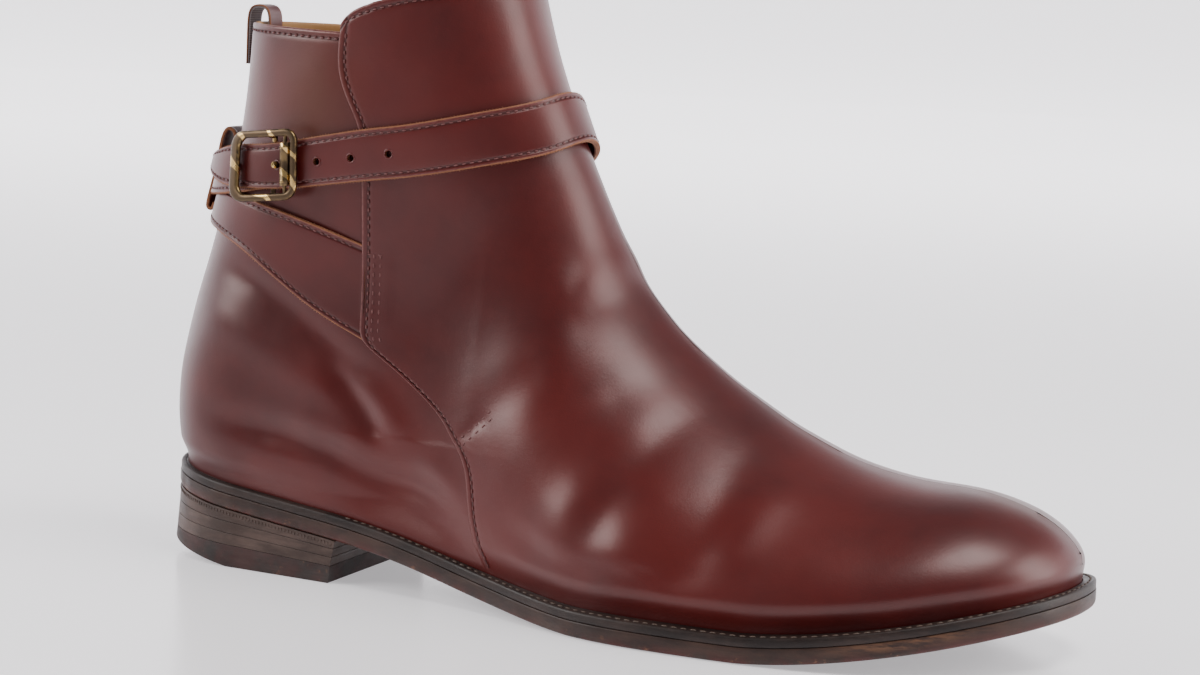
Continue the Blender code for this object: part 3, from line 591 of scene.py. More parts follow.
class Graph:
    """Material whose shader nodes are laid and linked by short calls."""

    def __init__(self, name: str) -> None:
        """Start a material with a Principled shader.

        Args:
            name: Name of the material.
        """
        self.material = bpy.data.materials.new(name)
        self.material.use_nodes = True
        self.nodes = self.material.node_tree.nodes
        self.links = self.material.node_tree.links
        self.shader = self.nodes["Principled BSDF"]
        self.object = self.node("ShaderNodeTexCoord").outputs["Object"]

    def node(self, kind: str, inputs: dict | None = None, **settings) -> bpy.types.Node:
        """Lay one node.

        Args:
            kind: Blender's name of the node type.
            inputs: Values or sockets for its inputs, by name or number.
            settings: Properties of the node.

        Returns:
            The new node.
        """
        made = self.nodes.new(kind)
        for key, value in settings.items():
            setattr(made, key, value)
        for key, value in (inputs or {}).items():
            self.feed(made.inputs[key], value)
        return made

    def feed(self, socket: bpy.types.NodeSocket, value: object) -> None:
        """Link a socket into an input, or set the input's value.

        Args:
            socket: The input.
            value: Socket or plain value for it.
        """
        if isinstance(value, bpy.types.NodeSocket):
            self.links.new(value, socket)
        else:
            socket.default_value = value

    def attribute(self, name: str) -> bpy.types.NodeSocket:
        """Number that the mesh stores for each point."""
        return self.node("ShaderNodeAttribute", attribute_name=name).outputs["Fac"]

    def noise(self, scale: float, detail: float = 3.0, rough: float = 0.5,
              stretch: Colour = (1, 1, 1)) -> bpy.types.NodeSocket:
        """Noise in the object's own metres.

        Args:
            scale: Cells per metre.
            detail: Octaves.
            rough: Strength of the finer octaves.
            stretch: Scale along each axis.

        Returns:
            The noise's value socket.
        """
        place = self.node("ShaderNodeMapping", {"Vector": self.object, "Scale": stretch})
        made = self.node("ShaderNodeTexNoise", {"Vector": place.outputs[0], "Scale": scale,
                                                "Detail": detail, "Roughness": rough})
        return made.outputs["Fac"]

    def cells(self, scale: float) -> bpy.types.NodeSocket:
        """Distance to the edge of rounded cells, as in pores and grain."""
        return self.node("ShaderNodeTexVoronoi", {"Vector": self.object, "Scale": scale},
                         feature="SMOOTH_F1").outputs["Distance"]

    def math(self, operation: str, a: object, b: object = 0.0) -> bpy.types.NodeSocket:
        """Result of one operation on two numbers or sockets."""
        return self.node("ShaderNodeMath", {0: a, 1: b}, operation=operation).outputs[0]

    def span(self, value: bpy.types.NodeSocket, low: float, high: float,
             to_low: float = 0.0, to_high: float = 1.0) -> bpy.types.NodeSocket:
        """Smooth change of a value from one range to another.

        Args:
            value: Socket to read.
            low: Value that gives to_low.
            high: Value that gives to_high.
            to_low: Start of the new range.
            to_high: End of the new range.

        Returns:
            The changed value's socket.
        """
        made = self.node("ShaderNodeMapRange", {"Value": value, "From Min": low, "From Max": high,
                                                "To Min": to_low, "To Max": to_high})
        made.interpolation_type = "SMOOTHSTEP"
        return made.outputs[0]

    def times(self, a: object, b: object) -> bpy.types.NodeSocket:
        """Product of two numbers or sockets."""
        return self.math("MULTIPLY", a, b)

    def mix(self, share: object, a: object, b: object) -> bpy.types.NodeSocket:
        """Colour between two colours or sockets.

        Args:
            share: 0 for the first and 1 for the second.
            a: First colour.
            b: Second colour.

        Returns:
            The mixed colour's socket.
        """
        made = self.node("ShaderNodeMix", data_type="RGBA")
        self.feed(made.inputs["Factor"], share)
        for number, value in ((6, a), (7, b)):
            self.feed(made.inputs[number], (*value, 1.0) if isinstance(value, tuple) else value)
        return made.outputs[2]

    def bump(self, height: bpy.types.NodeSocket, distance: float, strength: float = 1.0,
             under: bpy.types.NodeSocket | None = None) -> bpy.types.NodeSocket:
        """Bumped normal.

        Args:
            height: Height from 0 to 1.
            distance: What 1 stands for, in millimetres.
            strength: Share of the effect.
            under: Normal that this one is added to.

        Returns:
            The normal socket.
        """
        made = self.node("ShaderNodeBump", {"Height": height, "Distance": distance * MM,
                                            "Strength": strength})
        if under is not None:
            self.links.new(under, made.inputs["Normal"])
        return made.outputs[0]

    def finish(self, **inputs: object) -> bpy.types.Material:
        """Feed the shader's inputs, named with underscores for spaces.

        Args:
            inputs: Value or socket for each input.

        Returns:
            The finished material.
        """
        for key, value in inputs.items():
            value = (*value, 1.0) if isinstance(value, tuple) else value
            self.feed(self.shader.inputs[key.replace("_", " ")], value)
        return self.material


@dataclass(frozen=True)
class PolishedLeather:
    """Smooth waxed calf: deep colour with soft clouds, fine pores, rubbed edges with a painted
    highlight, and painted shade in stitch grooves.
    """

    name: str
    deep: Colour = (0.041, 0.0022, 0.0026)
    warm: Colour = (0.098, 0.0073, 0.0056)
    patina: Colour = (0.080, 0.020, 0.006)
    # Lighter edge tone: rubbed wear, and a painted highlight along the rounded edges.
    rubbed: Colour = (0.22, 0.085, 0.075)
    raw: Colour = (0.36, 0.15, 0.065)
    raw_shade: Colour = (0.14, 0.045, 0.022)
    # Near-black colour laid into the stitch grooves as painted shade.
    painted_groove_shade: Colour = (0.022, 0.0025, 0.0025)
    sheen: Colour = (1.0, 0.76, 0.74)
    roughness: float = 0.37
    coat: float = 0.15
    coat_roughness: float = 0.28
    raw_edges: bool = False

    def build(self) -> bpy.types.Material:
        """Lay the material's nodes.

        Returns:
            The material.
        """
        g = Graph(self.name)
        clouds = g.span(g.noise(16.0, 4.0, 0.55), 0.32, 0.68)
        mottle = g.span(g.noise(95.0, 5.0, 0.6), 0.3, 0.75)
        colour = g.mix(g.times(clouds, 0.75), self.deep, self.warm)
        colour = g.mix(g.times(mottle, 0.16), colour, self.warm)
        colour = g.mix(g.attribute("patina"), colour, self.patina)
        # Near free and cut edges the colour lightens: partly rubbed wear, partly a painted
        # highlight along the edge.
        edge = g.attribute("edge_mm")
        worn = g.times(g.span(edge, 1.1, 0.25), g.span(g.noise(700.0, 3.0), 0.25, 0.6))
        colour = g.mix(g.times(worn, 0.55), colour, self.rubbed)
        pores, grain = g.cells(1900.0), g.noise(1500.0, 4.0, 0.6)
        normal = g.bump(g.math("ADD", g.times(pores, 0.5), grain), 0.035, 0.55)
        normal = g.bump(g.noise(260.0, 4.0, 0.6, (1.0, 1.0, 1.8)), 0.10, 0.30, normal)
        # Darker towards the stitch rows: painted shade in the stitch grooves; the same profile
        # also bumps the groove.
        groove_profile = g.span(g.attribute("stitch_mm"), 0.0, 0.75)
        colour = g.mix(g.times(g.math("SUBTRACT", 1.0, groove_profile), 0.75), colour, self.painted_groove_shade)
        normal = g.bump(groove_profile, 0.25, 0.8, normal)
        rough = g.math("ADD", g.times(g.noise(60.0, 4.0, 0.6), 0.16), self.roughness - 0.08)
        if self.raw_edges:
            frayed = g.math("ADD", edge, g.times(g.noise(900.0, 4.0, 0.7), 0.5))
            fuzz = g.span(frayed, 0.85, 0.45)
            fibre = g.mix(g.noise(2600.0, 3.0), self.raw_shade, self.raw)
            colour = g.mix(fuzz, colour, fibre)
            rough = g.math("ADD", rough, g.times(fuzz, 0.55))
            normal = g.bump(g.times(g.noise(2400.0, 5.0, 0.8), fuzz), 0.30, 0.9, normal)
        return g.finish(Base_Color=colour, Roughness=rough, Normal=normal, Coat_Weight=self.coat,
                        Coat_Roughness=self.coat_roughness, Specular_IOR_Level=0.5,
                        Specular_Tint=self.sheen)


@dataclass(frozen=True)
class PlainHide:
    """Unpolished leather or woven lining: a mottled colour over grain."""

    name: str
    light: Colour
    dark: Colour
    grain: float = 900.0
    grain_depth: float = 0.08
    roughness: float = 0.62
    stains: float = 0.35

    def build(self) -> bpy.types.Material:
        """Lay the material's nodes.

        Returns:
            The material.
        """
        g = Graph(self.name)
        stain = g.times(g.span(g.noise(38.0, 5.0, 0.6), 0.45, 0.75), self.stains)
        speck = g.times(g.noise(self.grain, 4.0, 0.65), 0.5)
        colour = g.mix(g.math("ADD", stain, speck), self.light, self.dark)
        normal = g.bump(g.noise(self.grain, 5.0, 0.65), self.grain_depth, 0.7)
        normal = g.bump(g.cells(self.grain * 1.6), self.grain_depth * 0.6, 0.4, normal)
        return g.finish(Base_Color=colour, Roughness=self.roughness, Normal=normal)


@dataclass(frozen=True)
class SoleEdge:
    """Waxed sole or heel edge: dark burnish, fine layers, scuffs and a worn lower rim."""

    name: str
    dark: Colour = (0.022, 0.0110, 0.0085)
    grey: Colour = (0.050, 0.025, 0.018)
    worn: Colour = (0.22, 0.10, 0.05)
    rim: Colour = (0.085, 0.014, 0.012)
    layers: float = 0.3
    roughness: float = 0.42

    def build(self) -> bpy.types.Material:
        """Lay the material's nodes.

        Returns:
            The material.
        """
        g = Graph(self.name)
        clouds = g.span(g.noise(70.0, 5.0, 0.6, (1.0, 1.0, 2.5)), 0.35, 0.7)
        colour = g.mix(clouds, self.dark, self.grey)
        lines = g.noise(420.0, 4.0, 0.7, (0.08, 0.08, 2.4))
        colour = g.mix(g.times(g.span(lines, 0.45, 0.6), self.layers), colour, self.dark)
        low = g.attribute("rim")
        reddish = g.times(low, g.span(g.noise(120.0, 4.0, 0.6), 0.35, 0.6))
        colour = g.mix(g.times(reddish, 0.8), colour, self.rim)
        spots = g.span(g.noise(190.0, 5.0, 0.75), 0.60, 0.68)
        colour = g.mix(g.times(g.times(spots, low), 0.8), colour, self.worn)
        torn = g.span(g.noise(260.0, 4.0, 0.7, (0.3, 0.3, 2.0)), 0.4, 0.6)
        colour = g.mix(g.times(g.attribute("streak"), torn), colour, self.worn)
        scuff = g.span(g.noise(330.0, 5.0, 0.7, (1.0, 1.0, 3.0)), 0.58, 0.72)
        colour = g.mix(g.times(scuff, 0.35), colour, self.grey)
        normal = g.bump(lines, 0.10, 0.5)
        normal = g.bump(g.noise(900.0, 5.0, 0.7), 0.10, 0.6, normal)
        rough = g.math("ADD", g.times(g.noise(150.0, 4.0), 0.3), self.roughness - 0.12)
        return g.finish(Base_Color=colour, Roughness=rough, Normal=normal, Coat_Weight=0.03,
                        Coat_Roughness=0.35, Specular_IOR_Level=0.3)


@dataclass(frozen=True)
class AntiqueBrass:
    """Brass darkened in its hollows, with bright streaks where it is rubbed."""

    name: str
    bright: Colour = (0.62, 0.42, 0.17)
    dark: Colour = (0.085, 0.058, 0.036)

    def build(self) -> bpy.types.Material:
        """Lay the material's nodes.

        Returns:
            The material.
        """
        g = Graph(self.name)
        streak = g.node("ShaderNodeTexWave", {"Vector": g.object, "Scale": 52.0, "Distortion": 5.0,
                                              "Detail": 2.0, "Detail Scale": 1.2},
                        bands_direction="DIAGONAL").outputs["Fac"]
        worn = g.times(g.attribute("ridge"), g.span(g.noise(420.0, 4.0, 0.6), 0.42, 0.62))
        rubbed = g.math("MAXIMUM", g.span(streak, 0.86, 0.97), g.times(worn, 0.7))
        colour = g.mix(rubbed, self.dark, self.bright)
        rough = g.math("SUBTRACT", 0.40, g.times(rubbed, 0.14))
        normal = g.bump(g.noise(1500.0, 4.0, 0.7), 0.05, 0.5)
        return g.finish(Base_Color=colour, Roughness=rough, Normal=normal, Metallic=1.0)


@dataclass(frozen=True)
class Thread:
    """Waxed sewing thread."""

    name: str
    colour: Colour
    shade: Colour

    def build(self) -> bpy.types.Material:
        """Lay the material's nodes.

        Returns:
            The material.
        """
        g = Graph(self.name)
        twist = g.noise(3800.0, 2.0)
        colour = g.mix(twist, self.shade, self.colour)
        return g.finish(Base_Color=colour, Roughness=0.55, Normal=g.bump(twist, 0.08, 0.8))


@dataclass(frozen=True)
class LoopCloth:
    """Grey webbing with a fine plain weave, for the inside of the pull loop."""

    name: str
    light: Colour = (0.36, 0.31, 0.30)
    dark: Colour = (0.16, 0.13, 0.13)

    def build(self) -> bpy.types.Material:
        """Lay the material's nodes.

        Returns:
            The material.
        """
        g = Graph(self.name)
        threads = [g.node("ShaderNodeTexWave", {"Vector": g.object, "Scale": 420.0},
                          bands_direction=way).outputs["Fac"] for way in ("Y", "Z")]
        weave = g.times(*threads)
        colour = g.mix(weave, self.dark, self.light)
        return g.finish(Base_Color=colour, Roughness=0.85, Normal=g.bump(weave, 0.12, 0.9))


@dataclass(frozen=True)
class StageFloor:
    """Pale, faintly glossy table top that runs into the backdrop and glows, most on its far side:
    painted light in place of a lit backdrop.
    """

    name: str = "pale table"
    light: Colour = (0.84, 0.825, 0.845)
    dark: Colour = (0.80, 0.785, 0.81)
    glow_colour: Colour = (0.975, 0.95, 0.985)
    glow: float = 1.6
    glow_near: float = 0.45
    reach: tuple[float, float] = (0.30, 1.9)
    heading: tuple[float, float] = (-0.39, 0.92)

    def build(self) -> bpy.types.Material:
        """Lay the material's nodes.

        Returns:
            The material.
        """
        g = Graph(self.name)
        colour = g.mix(g.noise(3.0, 3.0), self.dark, self.light)
        behind = g.node("ShaderNodeVectorMath", {0: g.object, 1: (*self.heading, 0.0)},
                        operation="DOT_PRODUCT").outputs["Value"]
        # Painted light: emission that rises from near the boot towards the far side of the table.
        glow = g.span(behind, *self.reach, self.glow_near, self.glow)
        return g.finish(Base_Color=colour, Roughness=0.22, Specular_IOR_Level=0.35,
                        Emission_Color=self.glow_colour, Emission_Strength=glow)


# Mesh makers


def mesh_piece(name: str, points: Array, faces: list, look: bpy.types.Material,
               sharp: float = 42.0, values: dict[str, Array] | None = None) -> bpy.types.Object:
    """Smooth shaded object at the origin.

    Args:
        name: Name of the piece.
        points: Its points, in millimetres.
        faces: Its faces, as point numbers.
        look: Its material.
        sharp: Angle in degrees above which an edge stays sharp.
        values: Number of each point, by attribute name.

    Returns:
        The object.
    """
    mesh = bpy.data.meshes.new(name)
    mesh.from_pydata((np.asarray(points) * MM).tolist(), [], faces)
    mesh.validate()
    for key, numbers in (values or {}).items():
        made = mesh.attributes.new(key, "FLOAT", "POINT")
        made.data.foreach_set("value", np.asarray(numbers, np.float32).ravel())
    mesh.materials.append(look)
    mesh.shade_smooth()
    mesh.set_sharp_from_angle(angle=math.radians(sharp))
    made = bpy.data.objects.new(name, mesh)
    bpy.context.scene.collection.objects.link(made)
    return made


def place(piece: bpy.types.Object, slot: str, *nodes: str) -> None:
    """Attach a finished piece to the boot's body and hide the solids that it stands for.

    Args:
        piece: The piece.
        slot: Material slot of the record; not used.
        nodes: Solids that it stands for.
    """
    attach(piece, BODY)
    if nodes:
        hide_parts(*nodes)
    count = sum(len(p.vertices) - 2 for p in piece.data.polygons)
    LOG.info("%s: %d triangles", piece.name, count)


def shell_faces(rows: int, columns: int) -> list:
    """Faces of a closed solid between two open grids, the inner one first.

    Args:
        rows: Rows of each grid.
        columns: Columns of each grid.

    Returns:
        The faces, with the border walls.
    """
    total = rows * columns
    index = np.arange(total).reshape(rows, columns)
    quads = np.stack([index[:-1, :-1], index[:-1, 1:], index[1:, 1:], index[1:, :-1]], -1)
    quads = quads.reshape(-1, 4)
    faces = (quads + total).tolist() + quads[:, ::-1].tolist()
    border = np.concatenate([index[0], index[1:, -1], index[-1, -2::-1], index[-2:0:-1, 0]])
    after = np.roll(border, -1)
    faces += np.stack([border, after, after + total, border + total], -1)[:, ::-1].tolist()
    return faces


def ladder_cap(start: int, count: int, flip: bool) -> list:
    """Faces that close a loop whose two sides have matching stations.

    Args:
        start: First point of the loop.
        count: Points in the loop.
        flip: Whether the faces are turned over.

    Returns:
        The faces.
    """
    left, right = start + 1, start + count - 1
    faces = [(start, left, right)]
    while right - left > 2:
        faces.append((left, left + 1, right - 1, right))
        left, right = left + 1, right - 1
    if right - left == 2:
        faces.append((left, left + 1, right))
    return [f[::-1] for f in faces] if flip else faces


def outward(points: Array, faces: list) -> list:
    """Faces of a closed body, turned over if they point inwards.

    Args:
        points: Points of the body.
        faces: Its faces.

    Returns:
        The faces, pointing outwards.
    """
    about = points - points.mean(0)
    volume = 0.0
    for size in {len(f) for f in faces}:
        ring = about[np.array([f for f in faces if len(f) == size])]
        for k in range(1, size - 1):
            volume += (ring[:, 0] * np.cross(ring[:, k], ring[:, k + 1])).sum()
    return faces if volume > 0 else [tuple(f[::-1]) for f in faces]


def skin(loops: list, cyclic: bool = False) -> tuple[Array, list]:
    """Body skinned over loops of equal length.

    Args:
        loops: The loops, each an array of points.
        cyclic: Whether the last loop joins the first.

    Returns:
        Its points and faces.
    """
    count, total = len(loops[0]), len(loops)
    faces = []
    for i in range(total if cyclic else total - 1):
        low, high = i * count, (i + 1) % total * count
        for j in range(count):
            k = (j + 1) % count
            faces.append((low + j, low + k, high + k, high + j))
    if not cyclic:
        faces += ladder_cap(0, count, True) + ladder_cap((total - 1) * count, count, False)
    points = np.concatenate(loops)
    return points, outward(points, faces)


def tube(path: Array, across: Array, rise: Array, width: Array, height: Array,
         sides: int = 16, cyclic: bool = False, fullness: float = 2.0) -> tuple[Array, list]:
    """Rod with a superellipse section.

    Args:
        path: Middle line.
        across: Unit vector of the section's width at each point.
        rise: Unit vector of its height.
        width: Half width at each point.
        height: Half height at each point.
        sides: Points around the section.
        cyclic: Whether the rod closes.
        fullness: 2 for an ellipse, more for a boxier section.

    Returns:
        Its points and faces.
    """
    turn = circle(sides)
    c, s = (np.sign(v) * np.abs(v) ** (2 / fullness) for v in (np.cos(turn), np.sin(turn)))
    width, height = (np.broadcast_to(v, (len(path),)) for v in (width, height))
    loops = [p + w * np.outer(c, a) + h * np.outer(s, r)
             for p, a, r, w, h in zip(path, across, rise, width, height)]
    return skin(loops, cyclic)


def join(parts: list[tuple[Array, list]]) -> tuple[Array, list]:
    """Points and faces of several bodies as one mesh.

    Args:
        parts: Points and faces of each body.

    Returns:
        The points and the renumbered faces.
    """
    points, faces, start = [], [], 0
    for body, its_faces in parts:
        points.append(body)
        faces += [tuple(i + start for i in f) for f in its_faces]
        start += len(body)
    return np.concatenate(points), faces


@dataclass(frozen=True)
class Stitching:
    """Size of one kind of stitch in millimetres, with its spread in size as a share."""

    pitch: float = 2.6
    length: float = 1.6
    width: float = 0.62
    height: float = 0.62
    jitter: float = 0.14

    def sizes(self) -> dict[str, float]:
        """Inputs of the repeating tree, in metres apart from the spread."""
        return {"Pitch": self.pitch * MM, "Length": self.length * MM, "Width": self.width * MM,
                "Height": self.height * MM, "Jitter": self.jitter}


class Repeater:
    """Geometry Nodes tree that sets one small body along a line, again and again."""

    SEED = 7
    SEGMENTS = 8
    RINGS = 5

    def __init__(self) -> None:
        """Build the tree, with its sizes as named inputs."""
        self.group = bpy.data.node_groups.new("set along a line", "GeometryNodeTree")
        face = self.group.interface
        face.new_socket("Geometry", in_out="OUTPUT", socket_type="NodeSocketGeometry")
        face.new_socket("Line", in_out="INPUT", socket_type="NodeSocketGeometry")
        for name in ("Pitch", "Length", "Width", "Height", "Jitter"):
            face.new_socket(name, in_out="INPUT", socket_type="NodeSocketFloat")
        face.new_socket("Seed", in_out="INPUT", socket_type="NodeSocketInt")
        face.new_socket("Material", in_out="INPUT", socket_type="NodeSocketMaterial")
        self.lay()

    def add(self, kind: str, **settings) -> bpy.types.Node:
        """Lay one node.

        Args:
            kind: Blender's name of the node type.
            settings: Properties of the node.

        Returns:
            The new node.
        """
        made = self.group.nodes.new(kind)
        for key, value in settings.items():
            setattr(made, key, value)
        return made

    def lay(self) -> None:
        """Lay the nodes: line to curve, even points, bodies turned to it, realized and dressed."""
        link = self.group.links.new
        given, out = self.add("NodeGroupInput").outputs, self.add("NodeGroupOutput")
        curve = self.add("GeometryNodeMeshToCurve")
        link(given["Line"], curve.inputs["Mesh"])
        even = self.add("GeometryNodeResampleCurve", mode="LENGTH")
        link(curve.outputs[0], even.inputs["Curve"])
        link(given["Pitch"], even.inputs["Length"])
        tangent = self.add("GeometryNodeInputTangent")
        up = self.add("GeometryNodeInputNamedAttribute", data_type="FLOAT_VECTOR")
        up.inputs["Name"].default_value = "up"
        first = self.add("FunctionNodeAlignRotationToVector", axis="X")
        link(tangent.outputs[0], first.inputs["Vector"])
        second = self.add("FunctionNodeAlignRotationToVector", axis="Z", pivot_axis="X")
        link(first.outputs[0], second.inputs["Rotation"])
        link(up.outputs[0], second.inputs["Vector"])
        body = self.add("GeometryNodeMeshUVSphere")
        for key, value in (("Segments", self.SEGMENTS), ("Rings", self.RINGS), ("Radius", 0.5)):
            body.inputs[key].default_value = value
        size = self.add("ShaderNodeCombineXYZ")
        for axis, name in (("X", "Length"), ("Y", "Width"), ("Z", "Height")):
            link(given[name], size.inputs[axis])
        chance = self.add("FunctionNodeRandomValue", data_type="FLOAT")
        spread = self.add("ShaderNodeMath", operation="SUBTRACT")
        spread.inputs[0].default_value = 1.0
        link(given["Jitter"], spread.inputs[1])
        link(spread.outputs[0], chance.inputs[2])
        chance.inputs[3].default_value = 1.0
        link(given["Seed"], chance.inputs["Seed"])
        scale = self.add("ShaderNodeVectorMath", operation="SCALE")
        link(size.outputs[0], scale.inputs[0])
        link(chance.outputs[1], scale.inputs["Scale"])
        each = self.add("GeometryNodeInstanceOnPoints")
        link(even.outputs[0], each.inputs["Points"])
        link(body.outputs["Mesh"], each.inputs["Instance"])
        link(second.outputs[0], each.inputs["Rotation"])
        link(scale.outputs[0], each.inputs["Scale"])
        real = self.add("GeometryNodeRealizeInstances")
        link(each.outputs[0], real.inputs[0])
        dress = self.add("GeometryNodeSetMaterial")
        link(real.outputs[0], dress.inputs["Geometry"])
        link(given["Material"], dress.inputs["Material"])
        link(dress.outputs[0], out.inputs[0])

    def sew(self, name: str, slot: str, lines: list[tuple[Array, Array]],
            look: bpy.types.Material, stitch: Stitching) -> None:
        """Set the body along every line, keep the result as a plain mesh and attach it to the
        boot's body.

        Args:
            name: Name of the piece.
            slot: Material slot of the record.
            lines: Points and outward vectors of each line, in millimetres.
            look: Material of the bodies.
            stitch: Size of the bodies and their pitch.
        """
        points, edges, ups, start = [], [], [], 0
        for line, up in lines:
            points += (line * MM).tolist()
            ups.append(up)
            edges += [(start + i, start + i + 1) for i in range(len(line) - 1)]
            start += len(line)
        mesh = bpy.data.meshes.new(name)
        mesh.from_pydata(points, edges, [])
        stored = mesh.attributes.new("up", "FLOAT_VECTOR", "POINT")
        stored.data.foreach_set("vector", np.concatenate(ups).astype(np.float32).ravel())
        made = bpy.data.objects.new(name, mesh)
        bpy.context.scene.collection.objects.link(made)
        modifier = made.modifiers.new("along", "NODES")
        modifier.node_group = self.group
        sockets = {s.name: s.identifier for s in self.group.interface.items_tree
                   if s.in_out == "INPUT"}
        for key, value in {**stitch.sizes(), "Seed": self.SEED, "Material": look}.items():
            modifier[sockets[key]] = value
        graph = bpy.context.evaluated_depsgraph_get()
        result = bpy.data.meshes.new_from_object(made.evaluated_get(graph))
        made.modifiers.remove(modifier)
        result.materials.clear()
        result.materials.append(look)
        result.polygons.foreach_set("material_index", [0] * len(result.polygons))
        result.shade_smooth()
        made.data = result
        place(made, slot)


# Sub-assemblies


@dataclass
class Upper:
    """Vamp, quarters, linings and their seams."""

    last: Last
    repeater: Repeater
    leather: bpy.types.Material
    lining: bpy.types.Material
    thread: bpy.types.Material
    ring_top: float = 0.9
    ring_rows: int = 120
    vamp_columns: int = 190
    quarter_columns: int = 150
    ring_spread: float = 1.15
    rise_rows: int = 15
    near: tuple[float, ...] = (
        0, 0.12, 0.3, 0.6, 1.0, 1.6, 2.1, 2.5, 2.9, 3.4, 4.2, 5.6, 7.6, 10.0)
    top_gaps: tuple[float, ...] = (7.0, 5.5, 4.2, 3.2, 2.7, 2.3, 1.9, 1.4, 0.9, 0.5, 0.2, 0.0)
    tab_from: float = 32.0
    tab_reach: float = 54.0
    tab_level: float = 180.0
    underlap: float = 7.0
    skin_depth: float = 0.9
    vamp_depth: float = 1.05
    lining_gap: float = 0.02
    groove_depth: float = 0.22
    groove_width: float = 0.55
    edge_radius: float = 0.7
    edge_row: float = 2.5
    top_row: float = 2.3
    sunk: float = 0.05
    stitch: Stitching = Stitching()

    def tab_height(self, ahead: Array) -> Array:
        """Height of the vamp's top edge at a distance ahead of its rear corner."""
        return table(self.last.tab, "root_ahead", "height",
                     np.sqrt(np.clip(ahead, 0, self.tab_reach)))

    def collar_height(self, share: Array) -> Array:
        """Height of the quarters' top edge.

        Args:
            share: Share of the way from the back to the front.

        Returns:
            The height at each share.
        """
        rows = self.last.rings
        return between((rows["back_z"][-2], rows["front_z"][-2]), share)

    def columns(self, seam: Array, width: Array, vamp: bool) -> Array:
        """Turn of each column around the boot, pi at the front.

        Args:
            seam: Share at which the vamp's rear edge lies.
            width: Length of the row from back to front.
            vamp: Whether the columns cover the vamp, or else the quarters.

        Returns:
            One row of turns for each row given.
        """
        def turn(ahead: Array) -> Array:
            """Turn at a distance ahead of the rear edge."""
            return np.arccos(1 - 2 * np.clip(seam[..., None] + ahead / width[..., None], 0, 1))

        if not vamp:
            end = turn(np.array([self.underlap]))
            return end * np.linspace(-1, 1, self.quarter_columns)
        edge = turn(np.array(self.near))
        share = np.linspace(0, 1, self.vamp_columns + 2)[1:-1]
        middle = edge[..., -1:] + (2 * math.pi - 2 * edge[..., -1:]) * share
        return np.concatenate([edge, middle, 2 * math.pi - edge[..., ::-1]], -1)

    def grid(self, vamp: bool) -> tuple[Array, Array, Array]:
        """Base surface of a panel.

        Args:
            vamp: Whether it is the vamp, or else the quarters.

        Returns:
            Its points, the distance of each point from the panel's free edge, and
            the distance from the nearest row of edge stitches.
        """
        last = self.last
        ring = np.linspace(0, 1, self.ring_rows) ** self.ring_spread * self.ring_top
        ends = [table(last.rings, "ring", n, ring) for n in ("front_x", "back_x")]
        turn = self.columns(last.seam_share(ring), ends[0] - ends[1], vamp)
        x, z = last.ring_view(ring[:, None], (1 - np.cos(turn)) / 2)
        low = last.upper_point(x, z, np.sin(turn) > 0)
        skirt = low[:1].copy()
        skirt[..., 2] = last.outsole_top(skirt[..., 0]) + last.curve_gap
        share = (1 - np.cos(turn[-1])) / 2
        near = np.array(self.near)
        edge = np.full(turn.shape[1], np.inf)
        top = self.collar_height(share)
        if vamp:
            level = self.tab_level
            ahead = between((last.back_at(level), last.front_at(level)), share)
            ahead = ahead - last.seam_x(np.array(level))
            for row in (ahead, edge):
                row[:len(near)], row[-len(near):] = near, near[::-1]
            top = self.tab_height(ahead)
        start, gap = z[-1], self.top_gaps[0] + 1.0
        steps = [between((start, top - gap), g) for g in np.linspace(0, 1, self.rise_rows + 1)[1:]]
        z = np.stack(steps + [top - g for g in self.top_gaps])
        width = last.front_at(z) - last.back_at(z)
        seam = (last.seam_x(z) - last.back_at(z)) / width
        turn = np.stack([self.columns(s, w, vamp)[np.arange(len(s)), np.arange(len(s))]
                         for s, w in zip(seam, width)])
        x = last.back_at(z) + (1 - np.cos(turn)) / 2 * width
        high = last.upper_point(x, z, np.sin(turn) > 0)
        points = np.concatenate([skirt, low, high])
        far = np.full(len(skirt) + len(low) + self.rise_rows, np.inf)
        below = np.concatenate([far, self.top_gaps])[:, None]
        row = np.minimum(np.abs(edge[None, :] - self.edge_row), np.abs(below - self.top_row))
        return points, np.minimum(edge[None, :], below), np.minimum(row, NO_EDGE)

    def normals(self, points: Array) -> Array:
        """Outward unit normals of a panel's grid.

        Args:
            points: The grid, its first row on the sole.

        Returns:
            The normals, level on the first row.
        """
        normal = np.cross(np.gradient(points, axis=1), np.gradient(points, axis=0))
        normal[0] = normal[1]
        normal[0, :, 2] = 0
        return unit(normal)

    def round_edge(self, free: Array, radius: float) -> Array:
        """1 inside a panel, falling round to 0 at its free edge."""
        return np.sqrt(np.clip(1 - (1 - np.clip(free / radius, 0, 1)) ** 2, 0, 1))

    def patina(self, points: Array) -> Array:
        """Share of the brown cast: the upper quarter and a rim on the toe's ridge.

        Args:
            points: The panel's grid.

        Returns:
            The share at each point.
        """
        x, y, z = np.moveaxis(points, -1, 0)
        quarter = np.exp(-((x - 22) / 13) ** 2 - ((z - 150) / 20) ** 2) * (y < 0)
        toe = np.exp(-((x - 246) / 18) ** 2 - ((y - 9) / 11) ** 2 - ((z - 45) / 7) ** 2)
        return 0.6 * quarter + 0.8 * toe

